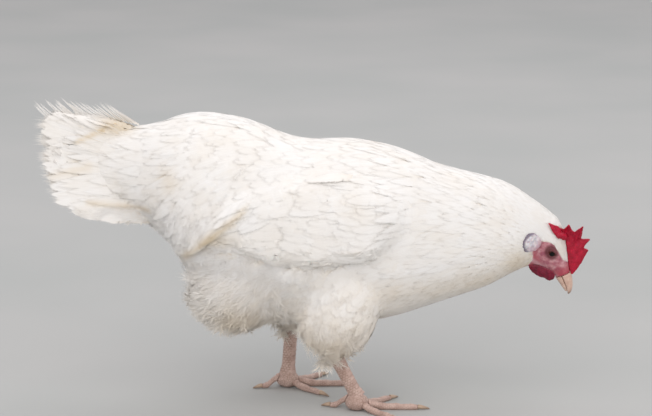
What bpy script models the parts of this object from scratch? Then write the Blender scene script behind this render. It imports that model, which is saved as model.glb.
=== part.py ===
"""A White Leghorn hen at life size, feeding: head down, back level, tail carried low, one foot ahead.

Metres, +Z up. The hen faces +X and her left side is +Y. The floor is z = 0, and the origin is the
centre of the bounding box, at the floor.
"""

import math
import random

import bmesh
import bpy
import numpy as np
from mathutils import Matrix, Vector
from mathutils.bvhtree import BVHTree

MM = 0.001
GAP = 0.35 * MM
SEED = 11

# Head: its own frame starts at the bill's tip, with +X along the bill, +Y left and +Z to the crown
BILL_TIP = Vector((258, 0, 104)) * MM
HEAD_PITCH = math.radians(68)
HEAD_ROLL = math.radians(10)
BILL_LENGTH = 20 * MM
EYE_RADIUS = 6.0 * MM
EYE_PLACE = Vector((-48, 10.4, 1.0)) * MM
EYE_TURN = math.radians(18)
GAPE_PLACE = Vector((-25, 8.0, -1.9)) * MM
GAPE_RADII = Vector((8.5, 2.4, 0.7)) * MM
NOSTRIL_PLACE = Vector((-14.5, 4.9, 4.9)) * MM
NOSTRIL_RADII = Vector((2.4, 1.2, 0.9)) * MM
LID_HALF_LENGTH = 4.9 * MM
LID_HALF_HEIGHT = 3.5 * MM
LID_THICKNESS = 1.5 * MM
LID_OUT = 3.7 * MM
LOBE_PLACE = Vector((-66.5, 60, -12)) * MM
LOBE_RADII = Vector((9.8, 5.0, 9.8)) * MM
LOBE_SINK = 1.2 * MM
LOBE_CLEARANCE = 0.8 * MM

# Comb, in millimetres: how far its fallen rear stays off the head, its thickness, and how deep it is rooted
COMB_OFF_HEAD = 1.3
COMB_THICKNESS = 6.0
COMB_ROOT = 2.2
COMB_ROWS = 4

# Torso
TORSO_RINGS = 22
TORSO_SIDES = 20
FLUFF_CENTRE = Vector((-57, 0, 122)) * MM
FLUFF_RADII = Vector((51, 56, 52)) * MM
HAUNCH_CENTRE = Vector((-57, 0, 157)) * MM
HAUNCH_RADII = Vector((55, 61, 48)) * MM

# Feathers
VANE_THICKNESS = 0.6 * MM
SECONDARIES = 8
PRIMARIES = 3
GREATER_COVERTS = 7
MEDIAN_COVERTS = 6

# Legs
STANCE = 38 * MM
SHANK_RADIUS = 5.6 * MM
SCUTES = 12
PAD_RADIUS = 11.3 * MM
TOE_START = 9 * MM

WHITE = (0.86, 0.84, 0.80)
RED = (0.55, 0.02, 0.04)

SIDES = {"left": 1, "right": -1}


def clear_scene():
    for thing in list(bpy.data.objects):
        bpy.data.objects.remove(thing)


def material(name, colour, roughness):
    made = bpy.data.materials.new(name)
    made.use_nodes = True
    shader = made.node_tree.nodes["Principled BSDF"]
    shader.inputs["Base Color"].default_value = (*colour, 1)
    shader.inputs["Roughness"].default_value = roughness
    return made


def mix(a, b, share):
    return a + (b - a) * share


def smooth(share):
    share = min(max(share, 0.0), 1.0)
    return share * share * (3 - 2 * share)


def head_frame():
    """The head's own axes in the world: columns are bill, left, crown and the bill's tip."""
    bill = Vector((math.cos(HEAD_PITCH), 0, -math.sin(HEAD_PITCH)))
    crown = Vector((math.sin(HEAD_PITCH), 0, math.cos(HEAD_PITCH)))
    left = Vector((0, 1, 0))
    rolled_crown = crown * math.cos(HEAD_ROLL) - left * math.sin(HEAD_ROLL)
    rolled_left = left * math.cos(HEAD_ROLL) + crown * math.sin(HEAD_ROLL)
    frame = Matrix((bill, rolled_left, rolled_crown)).transposed().to_4x4()
    frame.translation = BILL_TIP
    return frame


def new_object(name, mesh, where):
    made = bpy.data.objects.new(name, mesh)
    where.objects.link(made)
    return made


def from_bmesh(name, shape, where):
    bmesh.ops.recalc_face_normals(shape, faces=shape.faces)
    mesh = bpy.data.meshes.new(name)
    shape.to_mesh(mesh)
    shape.free()
    return new_object(name, mesh, where)


# Lofts: a hoop is a section given by its top, bottom, half width, widest level and side direction


def hoop(top, bottom, half_width, wide=0.5, side=(0, 1, 0)):
    return np.array([*top, *bottom, half_width, wide, *side], float)


def side_hoop(top, bottom, half_width, wide=0.46):
    """A hoop of the body, its top and bottom given as (x, z) in millimetres in the side view."""
    return hoop(
        (top[0] * MM, 0, top[1] * MM), (bottom[0] * MM, 0, bottom[1] * MM), half_width * MM, wide
    )


def smooth_hoops(hoops, count):
    """A Catmull-Rom curve through the hoops, read at even steps between them."""
    table = np.array(hoops)
    padded = np.vstack([2 * table[0] - table[1], table, 2 * table[-1] - table[-2]])
    found = []
    for at in np.linspace(0, len(table) - 1, count):
        i = min(int(at), len(table) - 2)
        t = at - i
        a, b, c, d = padded[i : i + 4]
        found.append(
            0.5 * (2 * b + (c - a) * t + (2 * a - 5 * b + 4 * c - d) * t**2 + (3 * b - a - 3 * c + d) * t**3)
        )
    return found


def ring(section, sides, grow=0.0):
    """The points of a hoop, pushed out by grow."""
    top, bottom, side = section[0:3], section[3:6], section[8:11]
    half_width, wide = section[6] + grow, section[7]
    side = side / np.linalg.norm(side)
    up = (top - bottom) / np.linalg.norm(top - bottom)
    top, bottom = top + up * grow, bottom - up * grow
    height = np.linalg.norm(top - bottom)
    centre = bottom + up * height * wide
    points = []
    for k in range(sides):
        turn = 2 * math.pi * k / sides
        rise = math.cos(turn) * height * ((1 - wide) if math.cos(turn) > 0 else wide)
        points.append(Vector(centre + side * math.sin(turn) * half_width + up * rise))
    return points


def loft(name, rings, where):
    """A closed tube through rings of equal count, with flat ends."""
    shape = bmesh.new()
    rows = [[shape.verts.new(point) for point in points] for points in rings]
    sides = len(rows[0])
    for first, second in zip(rows, rows[1:]):
        for k in range(sides):
            n = (k + 1) % sides
            shape.faces.new((first[k], first[n], second[n], second[k]))
    shape.faces.new(rows[0])
    shape.faces.new(rows[-1])
    return from_bmesh(name, shape, where)


def ball(name, centre, radii, where, segments=16, turn=None):
    """An ellipsoid; turn is a 3 by 3 rotation about its centre."""
    shape = bmesh.new()
    bmesh.ops.create_uvsphere(shape, u_segments=segments, v_segments=segments // 2 + 2, radius=1)
    place = Matrix.Translation(centre) @ (turn.to_4x4() if turn else Matrix()) @ Matrix.Diagonal((*radii, 1))
    bmesh.ops.transform(shape, matrix=place, verts=shape.verts)
    return from_bmesh(name, shape, where)


# Joining and cutting


def apply_boolean(target, others, operation, solver="EXACT"):
    """Joins the others to the target or cuts them from it, applied, and removes them."""
    scene_parts = bpy.context.scene.collection
    operands = bpy.data.collections.new("operands")
    scene_parts.children.link(operands)
    for other in others:
        for holder in list(other.users_collection):
            holder.objects.unlink(other)
        operands.objects.link(other)
    modifier = target.modifiers.new("operands", "BOOLEAN")
    modifier.operation = operation
    modifier.operand_type = "COLLECTION"
    modifier.collection = operands
    modifier.solver = solver
    bpy.context.view_layer.update()
    graph = bpy.context.evaluated_depsgraph_get()
    result = bpy.data.meshes.new_from_object(target.evaluated_get(graph))
    target.modifiers.clear()
    target.data = result
    for other in others:
        bpy.data.objects.remove(other)
    bpy.data.collections.remove(operands)
    keep_largest(target)
    return target


def join(target, others):
    return apply_boolean(target, others, "UNION")


def cut(target, others):
    return apply_boolean(target, others, "DIFFERENCE")


def volume_of(faces):
    total = 0.0
    for face in faces:
        corners = [vert.co for vert in face.verts]
        for b, c in zip(corners[1:], corners[2:]):
            total += corners[0].dot(b.cross(c)) / 6
    return total


def keep_largest(target):
    """Leaves only the largest closed surface of a mesh, as triangles."""
    shape = bmesh.new()
    shape.from_mesh(target.data)
    bmesh.ops.remove_doubles(shape, verts=shape.verts, dist=0.002 * MM)
    bmesh.ops.triangulate(shape, faces=shape.faces)
    left = set(shape.faces)
    groups = []
    while left:
        start = left.pop()
        group, front = {start}, [start]
        while front:
            for edge in front.pop().edges:
                for face in edge.link_faces:
                    if face in left:
                        left.discard(face)
                        group.add(face)
                        front.append(face)
        groups.append(group)
    groups.sort(key=volume_of)
    loose = [face for group in groups[:-1] for face in group]
    bmesh.ops.delete(shape, geom=loose, context="FACES")
    shape.to_mesh(target.data)
    shape.free()


# Flesh


def torso_hoops():
    return [
        side_hoop((-150, 271), (-146, 170), 30),
        side_hoop((-128, 275), (-128, 158), 43),
        side_hoop((-96, 284), (-100, 120), 56),
        side_hoop((-50, 278), (-58, 84), 64),
        side_hoop((0, 259), (-6, 77), 67),
        side_hoop((50, 259), (45, 77), 67),
        side_hoop((94, 250), (88, 83), 62),
        side_hoop((130, 235), (120, 93), 53),
    ]


# The head's sections: crown's distance back and height, throat's distance back and height, half width
HEAD_SIZES = (
    (76, 17, 39.6, -28.6, 19.5),
    (66, 17.2, 39.0, -25.0, 18.5),
    (57, 16.6, 37.5, -20.5, 16.6),
    (49, 15.4, 35.0, -16.5, 14.8),
    (41, 13.6, 32.0, -13.5, 12.6),
    (33, 11.6, 28.5, -10.6, 9.8),
    (26, 9.8, 24.0, -8.2, 7.5),
    (20, 8.7, 20.0, -6.6, 6.2),
)


def head_hoops():
    """The head's sections in the world, from the nape and throat to the bill's root."""
    frame = head_frame()
    side = frame.to_3x3() @ Vector((0, 1, 0))
    found = []
    for top_back, top, bottom_back, bottom, half_width in HEAD_SIZES:
        crown = frame @ (Vector((-top_back, 0, top)) * MM)
        throat = frame @ (Vector((-bottom_back, 0, bottom)) * MM)
        found.append(hoop(crown, throat, half_width * MM, 0.5, side))
    return found


def neck_hoops():
    return [
        torso_hoops()[-1],
        side_hoop((163, 226.5), (150, 102.5), 43),
        side_hoop((197, 217), (178, 112), 34),
        side_hoop((225, 199), (200, 124), 26),
        head_hoops()[0],
    ]


def torso_form(name, where, grow=0.0):
    sections = smooth_hoops(torso_hoops(), TORSO_RINGS)
    sections[0] = shifted(sections[0], sections[1], GAP / 2 - grow)
    sections[-1] = shifted(sections[-1], sections[-2], GAP / 2 - grow)
    return loft(name, [ring(section, TORSO_SIDES, grow) for section in sections], where)


def fluff_forms(name, where, grow=0.0):
    """The soft mass of feathers under the vent, behind the legs, and the haunch it hangs from."""
    out = Vector((grow, grow, grow))
    return [
        ball(name + "_fluff", FLUFF_CENTRE, FLUFF_RADII + out, where, 18),
        ball(name + "_haunch", HAUNCH_CENTRE, HAUNCH_RADII + out, where, 18),
    ]


def torso_guards(where):
    """The torso's forms grown by the gap, to cut what rests against it."""
    return [torso_form("torso_guard", where, GAP), *fluff_forms("guard", where, GAP)]


def make_torso(parts):
    return join(torso_form("torso", parts), fluff_forms("torso", parts))


def neck_form(name, where, inset, grow=0.0):
    """The neck between torso and head, its two ends drawn in by inset."""
    sections = smooth_hoops(neck_hoops(), 12)
    sections[0] = shifted(sections[0], sections[1], inset)
    sections[-1] = shifted(sections[-1], sections[-2], inset)
    return loft(name, [ring(section, 18, grow) for section in sections], where)


def shifted(section, towards, distance):
    """A hoop moved by a distance along the loft, towards another hoop."""
    middle = (section[0:3] + section[3:6]) / 2
    aim = (towards[0:3] + towards[3:6]) / 2 - middle
    moved = section.copy()
    moved[0:3] += aim / np.linalg.norm(aim) * distance
    moved[3:6] += aim / np.linalg.norm(aim) * distance
    return moved


def head_form(name, where, grow=0.0):
    sections = smooth_hoops(head_hoops(), 14)
    sections[0] = shifted(sections[0], sections[1], GAP / 2 - grow)
    return loft(name, [ring(section, 18, grow) for section in sections], where)


def lid(name, where, side):
    """A rim of bare skin round the eye, turned forward with the cheek."""
    shape = bmesh.new()
    segments, tube = 16, 6
    frame = head_frame().to_3x3()
    outward = frame @ Vector((math.sin(EYE_TURN), side * math.cos(EYE_TURN), 0))
    forward = frame @ Vector((math.cos(EYE_TURN), -side * math.sin(EYE_TURN), 0))
    crown = frame @ Vector((0, 0, 1))
    middle = eye_centre(side) + outward * LID_OUT
    rows = []
    for i in range(segments):
        turn = 2 * math.pi * i / segments
        rim = forward * LID_HALF_LENGTH * math.cos(turn) + crown * LID_HALF_HEIGHT * math.sin(turn)
        row = []
        for j in range(tube):
            lift = 2 * math.pi * j / tube
            swell = rim.normalized() * math.cos(lift) + outward * math.sin(lift)
            row.append(shape.verts.new(middle + rim + swell * LID_THICKNESS))
        rows.append(row)
    for i in range(segments):
        n = (i + 1) % segments
        for j in range(tube):
            m = (j + 1) % tube
            shape.faces.new((rows[i][j], rows[i][m], rows[n][m], rows[n][j]))
    return from_bmesh(name, shape, where)


def on_head(place, side):
    """A place given for the left side of the head, in the world, for either side."""
    return head_frame() @ Vector((place.x, side * place.y, place.z))


def eye_centre(side):
    return on_head(EYE_PLACE, side)


def gape_cutter(name, where, side):
    """A thin wedge that carries the line of the mouth back over the cheek."""
    droop = Matrix.Rotation(math.radians(-14), 3, "Y")
    flare = Matrix.Rotation(math.radians(side * -18), 3, "Z")
    turn = head_frame().to_3x3() @ droop @ flare
    return ball(name, on_head(GAPE_PLACE, side), GAPE_RADII, where, 10, turn)


def make_head(parts):
    head = head_form("head", parts)
    join(head, [lid("lid_" + name, parts, side) for name, side in SIDES.items()])
    cutters = []
    for name, side in SIDES.items():
        socket = EYE_RADIUS + GAP
        cutters.append(ball("socket_" + name, eye_centre(side), (socket, socket, socket), parts, 14))
        cutters.append(gape_cutter("gape_" + name, parts, side))
    return cut(head, cutters)


def make_eyes(parts):
    for name, side in SIDES.items():
        ball("eye_" + name, eye_centre(side), (EYE_RADIUS, EYE_RADIUS, EYE_RADIUS), parts, 14)


# Bill, comb, wattles and ear lobes


# Sections of the bill, in millimetres: distance back from the tip, top, bottom, half width
BILL_ROOT = (BILL_LENGTH - GAP) / MM
BILL_UPPER = (
    (BILL_ROOT, 8.7, 0.2, 6.0),
    (14, 8.0, 0.2, 5.1),
    (8, 6.3, 0.1, 3.9),
    (3.2, 3.7, -0.5, 2.5),
    (1.0, 1.7, -1.3, 1.3),
    (0, -0.2, -1.4, 0.4),
)
BILL_LOWER = (
    (BILL_ROOT, -0.2, -6.6, 5.7),
    (14, -0.2, -5.2, 4.9),
    (8, -0.35, -3.8, 3.6),
    (3.6, -1.0, -2.5, 1.8),
)


def bill_half(name, sizes, wide, where):
    """A loft along the bill. wide is the share of the height at which the bill is widest."""
    frame = head_frame()
    side = frame.to_3x3() @ Vector((0, 1, 0))
    hoops = []
    for back, top, bottom, half_width in sizes:
        high = frame @ (Vector((-back, 0, top)) * MM)
        low = frame @ (Vector((-back, 0, bottom)) * MM)
        hoops.append(hoop(high, low, half_width * MM, wide, side))
    return loft(name, [ring(section, 12) for section in smooth_hoops(hoops, 9)], where)


def make_bill(parts):
    upper = bill_half("bill_upper", BILL_UPPER, 0.10, parts)
    bill_half("bill_lower", BILL_LOWER, 0.90, parts)
    turn = head_frame().to_3x3()
    nostrils = [
        ball("nostril_" + name, on_head(NOSTRIL_PLACE, side), NOSTRIL_RADII, parts, 10, turn)
        for name, side in SIDES.items()
    ]
    cut(upper, nostrils)


def crown_height(back):
    """How high the crown lies at a distance back from the bill's tip, in millimetres."""
    backs, tops = zip(*[(row[0], row[1]) for row in reversed(HEAD_SIZES)])
    return float(np.interp(back, (14, *backs), (7.9, *tops)))


def head_side(back, height):
    """How far the head's side lies from its middle plane at a place, in millimetres."""
    backs, tops, _, throats, halves = (np.array(column) for column in zip(*reversed(HEAD_SIZES)))
    top, throat, half = (float(np.interp(back, backs, column)) for column in (tops, throats, halves))
    middle = (top + throat) / 2
    share = min(abs(height - middle) / (top - middle), 1.0)
    return half * math.sqrt(1 - share**2)


# The comb's free edge as (back, height) in millimetres: the front's arc, then points and notches by turns
COMB_EDGE = (
    (17.5, 9.8), (20.5, 15.2), (25.0, 21.5), (30, 26.5),
    (34.6, 32.2), (38.0, 28.6),
    (40.8, 31.0), (44.0, 37.6), (47.6, 29.2),
    (52.0, 32.4), (62.0, 38.0), (56.6, 26.6),
    (60.0, 25.2), (66.2, 25.0), (62.0, 17.8),
    (68.4, 15.0), (76.4, 9.0), (66.6, 9.8), (58.0, 11.8),
)


def comb_lean(back, height):
    """The rear of the comb falls over to the right, as a hen's does: the offset to that side."""
    rise = max(height - crown_height(back), 0)
    fall = smooth((back - 46) / 24)
    return -(rise * 0.85 * fall + (head_side(back, height) + COMB_OFF_HEAD) * smooth((back - 50) / 9))


def make_comb(parts):
    frame = head_frame()
    shape = bmesh.new()
    faces = {}
    for cheek in (1, -1):
        grid = []
        for i, (edge_back, edge_height) in enumerate(COMB_EDGE):
            share = i / (len(COMB_EDGE) - 1)
            root_back = mix(17.5, 58, share)
            root_height = crown_height(root_back) - COMB_ROOT
            column = []
            for j in range(COMB_ROWS + 1):
                up = j / COMB_ROWS
                back, height = mix(root_back, edge_back, up), mix(root_height, edge_height, up)
                front = min(1.0, 0.35 + 2.5 * share)
                half = COMB_THICKNESS / 2 * mix(1.0, 0.34, up**0.8) * front
                lean = comb_lean(back, height) * min(1.0, 2.0 * up)
                spot = Vector((-back, cheek * half + lean, height))
                column.append(shape.verts.new(frame @ (spot * MM)))
            grid.append(column)
        faces[cheek] = grid
    for cheek, grid in faces.items():
        for first, second in zip(grid, grid[1:]):
            for j in range(COMB_ROWS):
                shape.faces.new((first[j], second[j], second[j + 1]))
                shape.faces.new((first[j], second[j + 1], first[j + 1]))
    near, far = faces[1], faces[-1]
    close_strip(shape, [column[0] for column in near], [column[0] for column in far])
    close_strip(shape, [column[-1] for column in near], [column[-1] for column in far])
    close_strip(shape, near[0], far[0])
    close_strip(shape, near[-1], far[-1])
    comb = from_bmesh("comb", shape, parts)
    bill_guard = bill_guard_form(parts)
    cut(comb, [head_form("head_guard", parts, GAP), neck_form("neck_guard", parts, -GAP, GAP), bill_guard])


def bill_guard_form(parts):
    """The bill's root and culmen, grown by the gap, to seat the front of the comb."""
    root = BILL_LENGTH / MM
    grow = GAP / MM
    sizes = [(root + 0.5, 8.7 + grow, 0, 6.4), (14, 8.0 + grow, 0, 5.5), (8, 6.3 + grow, 0, 4.3)]
    return bill_half("bill_guard", sizes, 0.3, parts)


def close_strip(shape, first, second):
    """Faces between two matching rows of points, split alike all along."""
    for a, b, c, d in zip(first, first[1:], second, second[1:]):
        shape.faces.new((a, b, d))
        shape.faces.new((a, d, c))


# A wattle's middle lobe and its front and rear folds: place on the head and radii, in millimetres
WATTLE_FORMS = (
    ((-32.5, 7.0, -15.5), (11.5, 3.2, 6.4)),
    ((-25.0, 5.8, -10.6), (5.5, 2.6, 4.6)),
    ((-39.0, 7.4, -20.5), (5.5, 2.4, 5.0)),
)


def make_wattles(parts):
    frame = head_frame()
    for name, side in SIDES.items():
        hang = Matrix.Rotation(math.radians(-47), 3, "Y")
        turn = frame.to_3x3() @ hang @ Matrix.Rotation(side * math.radians(10), 3, "X")
        lobe, *folds = (
            ball("wattle_" + name, on_head(Vector(place) * MM, side), Vector(radii) * MM, parts, segments, turn)
            for (place, radii), segments in zip(WATTLE_FORMS, (14, 10, 10))
        )
        join(lobe, folds)
        cut(lobe, [head_form("head_guard", parts, GAP), guard_slab(parts, frame, side)])


def guard_slab(parts, frame, side):
    """A thin box in the head's middle plane that keeps left and right pieces apart."""
    shape = bmesh.new()
    bmesh.ops.create_cube(shape, size=1)
    place = frame @ Matrix.Translation(Vector((-30, side * -4.6, -10)) * MM) @ Matrix.Diagonal((0.08, 0.010, 0.06, 1))
    bmesh.ops.transform(shape, matrix=place, verts=shape.verts)
    return from_bmesh("middle_guard", shape, parts)


def tree_of(thing):
    shape = bmesh.new()
    shape.from_mesh(thing.data)
    tree = BVHTree.FromBMesh(shape)
    shape.free()
    return tree


def first_hit(things, start, aim):
    """The nearest point of any of the things along a ray."""
    hits = [tree_of(thing).ray_cast(start, aim) for thing in things]
    return min((hit for hit in hits if hit[0]), key=lambda hit: hit[3])[0]


def make_lobes(parts):
    frame = head_frame()
    flesh = [bpy.data.objects["head"], bpy.data.objects["neck"]]
    for name, side in SIDES.items():
        turn = frame.to_3x3() @ Matrix.Rotation(math.radians(-22), 3, "Y")
        inward = frame.to_3x3() @ Vector((0, -side, 0))
        skin = first_hit(flesh, on_head(LOBE_PLACE, side), inward)
        lobe = ball("ear_lobe_" + name, skin + inward * LOBE_SINK, LOBE_RADII, parts, 14, turn)
        cut(lobe, [head_form("head_guard", parts, GAP), neck_form("neck_guard", parts, -GAP, LOBE_CLEARANCE)])


# Feathers


def vane(name, rows, where):
    """A feather's flat vane as a closed mesh.

    Each row is (upper edge, shaft, lower edge, outward normal). Both faces are split alike.
    """
    shape = bmesh.new()
    skins = []
    for lift in (0.5, -0.5):
        grid = []
        for *points, normal in rows:
            grid.append([shape.verts.new(point + normal * VANE_THICKNESS * lift) for point in points])
        skins.append(grid)
    for grid in skins:
        for first, second in zip(grid, grid[1:]):
            for j in range(2):
                shape.faces.new((first[j], second[j], second[j + 1]))
                shape.faces.new((first[j], second[j + 1], first[j + 1]))
    top, bottom = skins
    close_strip(shape, [row[0] for row in top], [row[0] for row in bottom])
    close_strip(shape, [row[2] for row in top], [row[2] for row in bottom])
    close_strip(shape, top[0], bottom[0])
    close_strip(shape, top[-1], bottom[-1])
    return from_bmesh(name, shape, where)


# Along a vane from its root: share of the length, share of the width
VANE_STATIONS = ((0.0, 0.62), (0.45, 1.0), (0.8, 0.9), (0.95, 0.5), (1.0, 0.12))
COVERT_STATIONS = ((0.0, 0.7), (0.6, 1.0), (0.9, 0.62), (1.0, 0.14))


def straight_vane(name, root, tip, across, normal, width, where, bend=0.0):
    """A vane from root to tip. across points to its upper edge; bend lifts its middle along across."""
    rows = []
    for along, share in COVERT_STATIONS if "covert" in name else VANE_STATIONS:
        shaft = mix(root, tip, along) + across * bend * math.sin(math.pi * along)
        half = across * width / 2 * share
        crown = normal * width * 0.05 * share
        rows.append((shaft + half, shaft + crown, shaft - half, normal))
    return vane(name, rows, where)


# The tail's tiers, each from its top feather to its lowest: name, pairs, (length, steepest, lowest angle),
# widths, distance out from the fan's own plane, sideways spread in degrees, height and offset of the roots
TAIL_TIERS = (
    ("rectrix", 7, (90, 34, -2), (30, 28), 0.0, (1.6, 24), (238, 209), (2.0, 12)),
    ("covert", 5, (48, 28, -12), (24, 26), 2.0, (4.0, 21), (244, 204), (7.0, 17)),
)
TAIL_ROOT = -153 * MM


def make_tail(parts):
    """Main tail feathers in a tent-shaped fan, with a tier of coverts over their bases."""
    draw = random.Random(SEED)
    hoops = [
        side_hoop((-147, 270.5), (-143, 170.5), 29.5),
        side_hoop((-166, 268), (-164, 167), 25),
        side_hoop((-184, 256), (-184, 167), 17, 0.42),
        side_hoop((-203, 232), (-199, 176), 8, 0.42),
    ]
    tail = loft("tail", [ring(section, 16) for section in smooth_hoops(hoops, 8)], parts)
    vanes = []
    for tier, pairs, (length, high, low), widths, outward, spread, roots, splay in TAIL_TIERS:
        for side in (1, -1):
            for i in range(pairs):
                share = i / (pairs - 1)
                rise = math.radians(mix(high, low, share) + draw.uniform(-1.0, 1.0))
                turn = math.radians(mix(*spread, share) * 0.5)
                aim = Vector((-math.cos(rise) * math.cos(turn), side * math.sin(turn), math.sin(rise)))
                root = Vector((TAIL_ROOT, side * mix(*splay, share) * MM, mix(*roots, share) * MM))
                reach = length * MM * (1 - 0.14 * share) * draw.uniform(0.97, 1.03)
                pitch = math.radians(mix(34, 4, share) - 10)
                normal = Vector((0, side * math.cos(pitch), math.sin(pitch)))
                normal = (normal - aim * normal.dot(aim)).normalized()
                across = aim.cross(normal) * side
                across = across if across.z > 0 else -across
                root += normal * outward * MM
                tip, width, bend = root + aim * reach, mix(*widths, share) * MM, 2.5 * MM * (1 - share)
                vanes.append(straight_vane(f"{tier}_{side}_{i}", root, tip, across, normal, width, parts, bend))
    join(tail, vanes)
    cut(tail, torso_guards(parts))


class Flank:
    """One side of the torso as a chart: a place (x, z) in millimetres and a height above it."""

    def __init__(self, torso, side):
        self.tree = tree_of(torso)
        self.side = side

    def at(self, x, z, height):
        start = Vector((x * MM, self.side * 0.3, z * MM))
        hit, normal, _, _ = self.tree.ray_cast(start, Vector((0, -self.side, 0)))
        lean = max(abs(normal.y), 0.5)
        return Vector((x * MM, hit.y + self.side * height * MM / lean, z * MM))


# The wing's plate: x, middle z, half depth and thickness, in millimetres, from shoulder to rear
WING_PLATE = (
    (99, 190, 6, 2.0),
    (92, 190, 24, 7.5),
    (76, 190, 37, 10.5),
    (54, 191, 44, 11.0),
    (28, 193, 45, 9.5),
    (2, 193, 40, 7.5),
    (-22, 190, 31, 5.5),
    (-42, 186, 20, 3.0),
)


def wing_plate(name, flank, where):
    table = np.array(WING_PLATE, float)
    steps = 9
    at = np.linspace(0, len(table) - 1, 9)
    stations = np.array([[np.interp(a, range(len(table)), table[:, k]) for k in range(4)] for a in at])
    shape = bmesh.new()
    skins = []
    for outer in (True, False):
        grid = []
        for x, middle, half, thick in stations:
            column = []
            for j in range(steps):
                across = -1 + 2 * j / (steps - 1)
                swell = math.sqrt(max(1 - across**2, 0.0))
                height = thick * swell - 1.2 if outer else -3.5
                column.append(shape.verts.new(flank.at(x, middle + half * across, height)))
            grid.append(column)
        skins.append(grid)
    for grid in skins:
        for first, second in zip(grid, grid[1:]):
            for j in range(steps - 1):
                shape.faces.new((first[j], second[j], second[j + 1]))
                shape.faces.new((first[j], second[j + 1], first[j + 1]))
    outer, inner = skins
    for pick in (0, -1):
        close_strip(shape, [column[pick] for column in outer], [column[pick] for column in inner])
        close_strip(shape, outer[pick], inner[pick])
    return from_bmesh(name, shape, where)


def flank_vane(name, flank, root, tip, width, heights, slope, where):
    """A vane laid on the torso's side. Its lower edge stands out over the next vane down."""
    (x0, z0), (x1, z1) = root, tip
    along = Vector((x1 - x0, z1 - z0))
    across = Vector((-along.y, along.x)).normalized()
    across = across if across.y > 0 else -across
    rows = []
    for share, girth in COVERT_STATIONS if "covert" in name else VANE_STATIONS:
        centre = Vector((x0, z0)) + along * share
        half = width / 2 * girth
        base = mix(*heights, share)
        points = []
        for w in (1, 0, -1):
            spot = centre + across * half * w
            points.append(flank.at(spot.x, spot.y, base + slope * (width / 2 - half * w)))
        rows.append((*points, Vector((0, flank.side, 0))))
    return vane(name, rows, where)


def wing_vanes(flank, where):
    """Primaries, secondaries and two tiers of coverts, each tier lying over the one behind it."""
    found = []
    for i in range(PRIMARIES):
        share = i / (PRIMARIES - 1)
        root, tip = (-8, mix(174, 164, share)), (-97 + 13 * share, mix(174, 167, share))
        found.append(flank_vane(f"primary_{i}", flank, root, tip, 17, (1.0, 0.9), 0.10, where))
    for i in range(SECONDARIES):
        share = i / (SECONDARIES - 1)
        arc = math.sin(math.pi * (0.14 + 0.72 * share))
        root = (mix(34, 18, share), mix(222, 158, share))
        tip = (-52 - 34 * arc + 26 * share**2, mix(200, 160, share))
        found.append(flank_vane(f"secondary_{i}", flank, root, tip, 22, (2.0, 2.4), 0.21, where))
    for i in range(GREATER_COVERTS):
        share = i / (GREATER_COVERTS - 1)
        root = (mix(58, 46, share), mix(224, 158, share))
        tip = (mix(-14, -4, share) - 8 * math.sin(math.pi * share), mix(214, 155, share))
        found.append(flank_vane(f"greater_covert_{i}", flank, root, tip, 20, (5.6, 6.6), 0.14, where))
    for i in range(MEDIAN_COVERTS):
        share = i / (MEDIAN_COVERTS - 1)
        root = (mix(80, 72, share), mix(216, 162, share))
        tip = (mix(30, 36, share) - 6 * math.sin(math.pi * share), mix(220, 157, share))
        found.append(flank_vane(f"median_covert_{i}", flank, root, tip, 19, (7.6, 9.2), 0.12, where))
    return found


def make_wings(parts, torso):
    for name, side in SIDES.items():
        flank = Flank(torso, side)
        wing = wing_plate("wing_" + name, flank, parts)
        join(wing, wing_vanes(flank, parts))
        cut(wing, torso_guards(parts))


# Legs: place of the foot, hock and the rising axis of the feathered thigh, in millimetres


LEGS = {
    "right": {
        "foot": (54, 13),
        "hock": (18, 83),
        "cuff": 0.54,
        "lobe": (
            (55, 34.5, 12, 11, 39),
            (60, 35, 16.5, 14, 39.5),
            (66, 36, 23.5, 18, 40),
            (75, 35, 34, 22, 41),
            (88, 36, 37, 25, 42),
            (103, 39, 37, 25, 43),
            (120, 43, 33, 22, 44),
            (137, 48, 22, 14, 45),
        ),
    },
    "left": {
        "foot": (-13, 13),
        "hock": (-7, 92),
        "cuff": 0.60,
        "lobe": (
            (63.5, -8.5, 11.5, 11, 39),
            (68, -8, 16, 14, 39.5),
            (76, -5, 25, 18, 40),
            (87, 0, 32, 22, 41),
            (100, 7, 34, 24, 42),
            (113, 14, 33, 24, 43),
            (126, 22, 28, 20, 44),
            (138, 28, 19, 13, 45),
        ),
    },
}


def leg_axis(name):
    side, leg = SIDES[name], LEGS[name]
    foot = Vector((leg["foot"][0] * MM, side * STANCE, leg["foot"][1] * MM))
    hock = Vector((leg["hock"][0] * MM, side * (STANCE + 1.5 * MM), leg["hock"][1] * MM))
    return foot, hock


def oval(centre, front, across, front_radius, across_radius, sides):
    """A ring of points: front and across are its unit directions."""
    return [
        centre + front * front_radius * math.cos(2 * math.pi * k / sides)
        + across * across_radius * math.sin(2 * math.pi * k / sides)
        for k in range(sides)
    ]


def make_thigh(parts, name):
    """The feathered drumstick: a lobe from under the wing down to the cuff round the shank."""
    side = SIDES[name]
    foot, hock = leg_axis(name)
    axis = (hock - foot).normalized()
    cuff = mix(foot, hock, LEGS[name]["cuff"])
    across = Vector((0, side, 0))
    front = across.cross(axis).normalized() * side
    rings = [oval(cuff, front, across, 8.8 * MM, 8.4 * MM, 18)]
    for i, (z, x, front_radius, across_radius, y) in enumerate(LEGS[name]["lobe"]):
        centre = Vector((x, side * y, z)) * MM
        level = front.lerp(Vector((1, 0, 0)), min(1, (i + 1) / 3)).normalized()
        rings.append(oval(centre, level, across, front_radius * MM, across_radius * MM, 18))
    thigh = loft("thigh_" + name, rings, parts)
    cut(thigh, torso_guards(parts))


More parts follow.
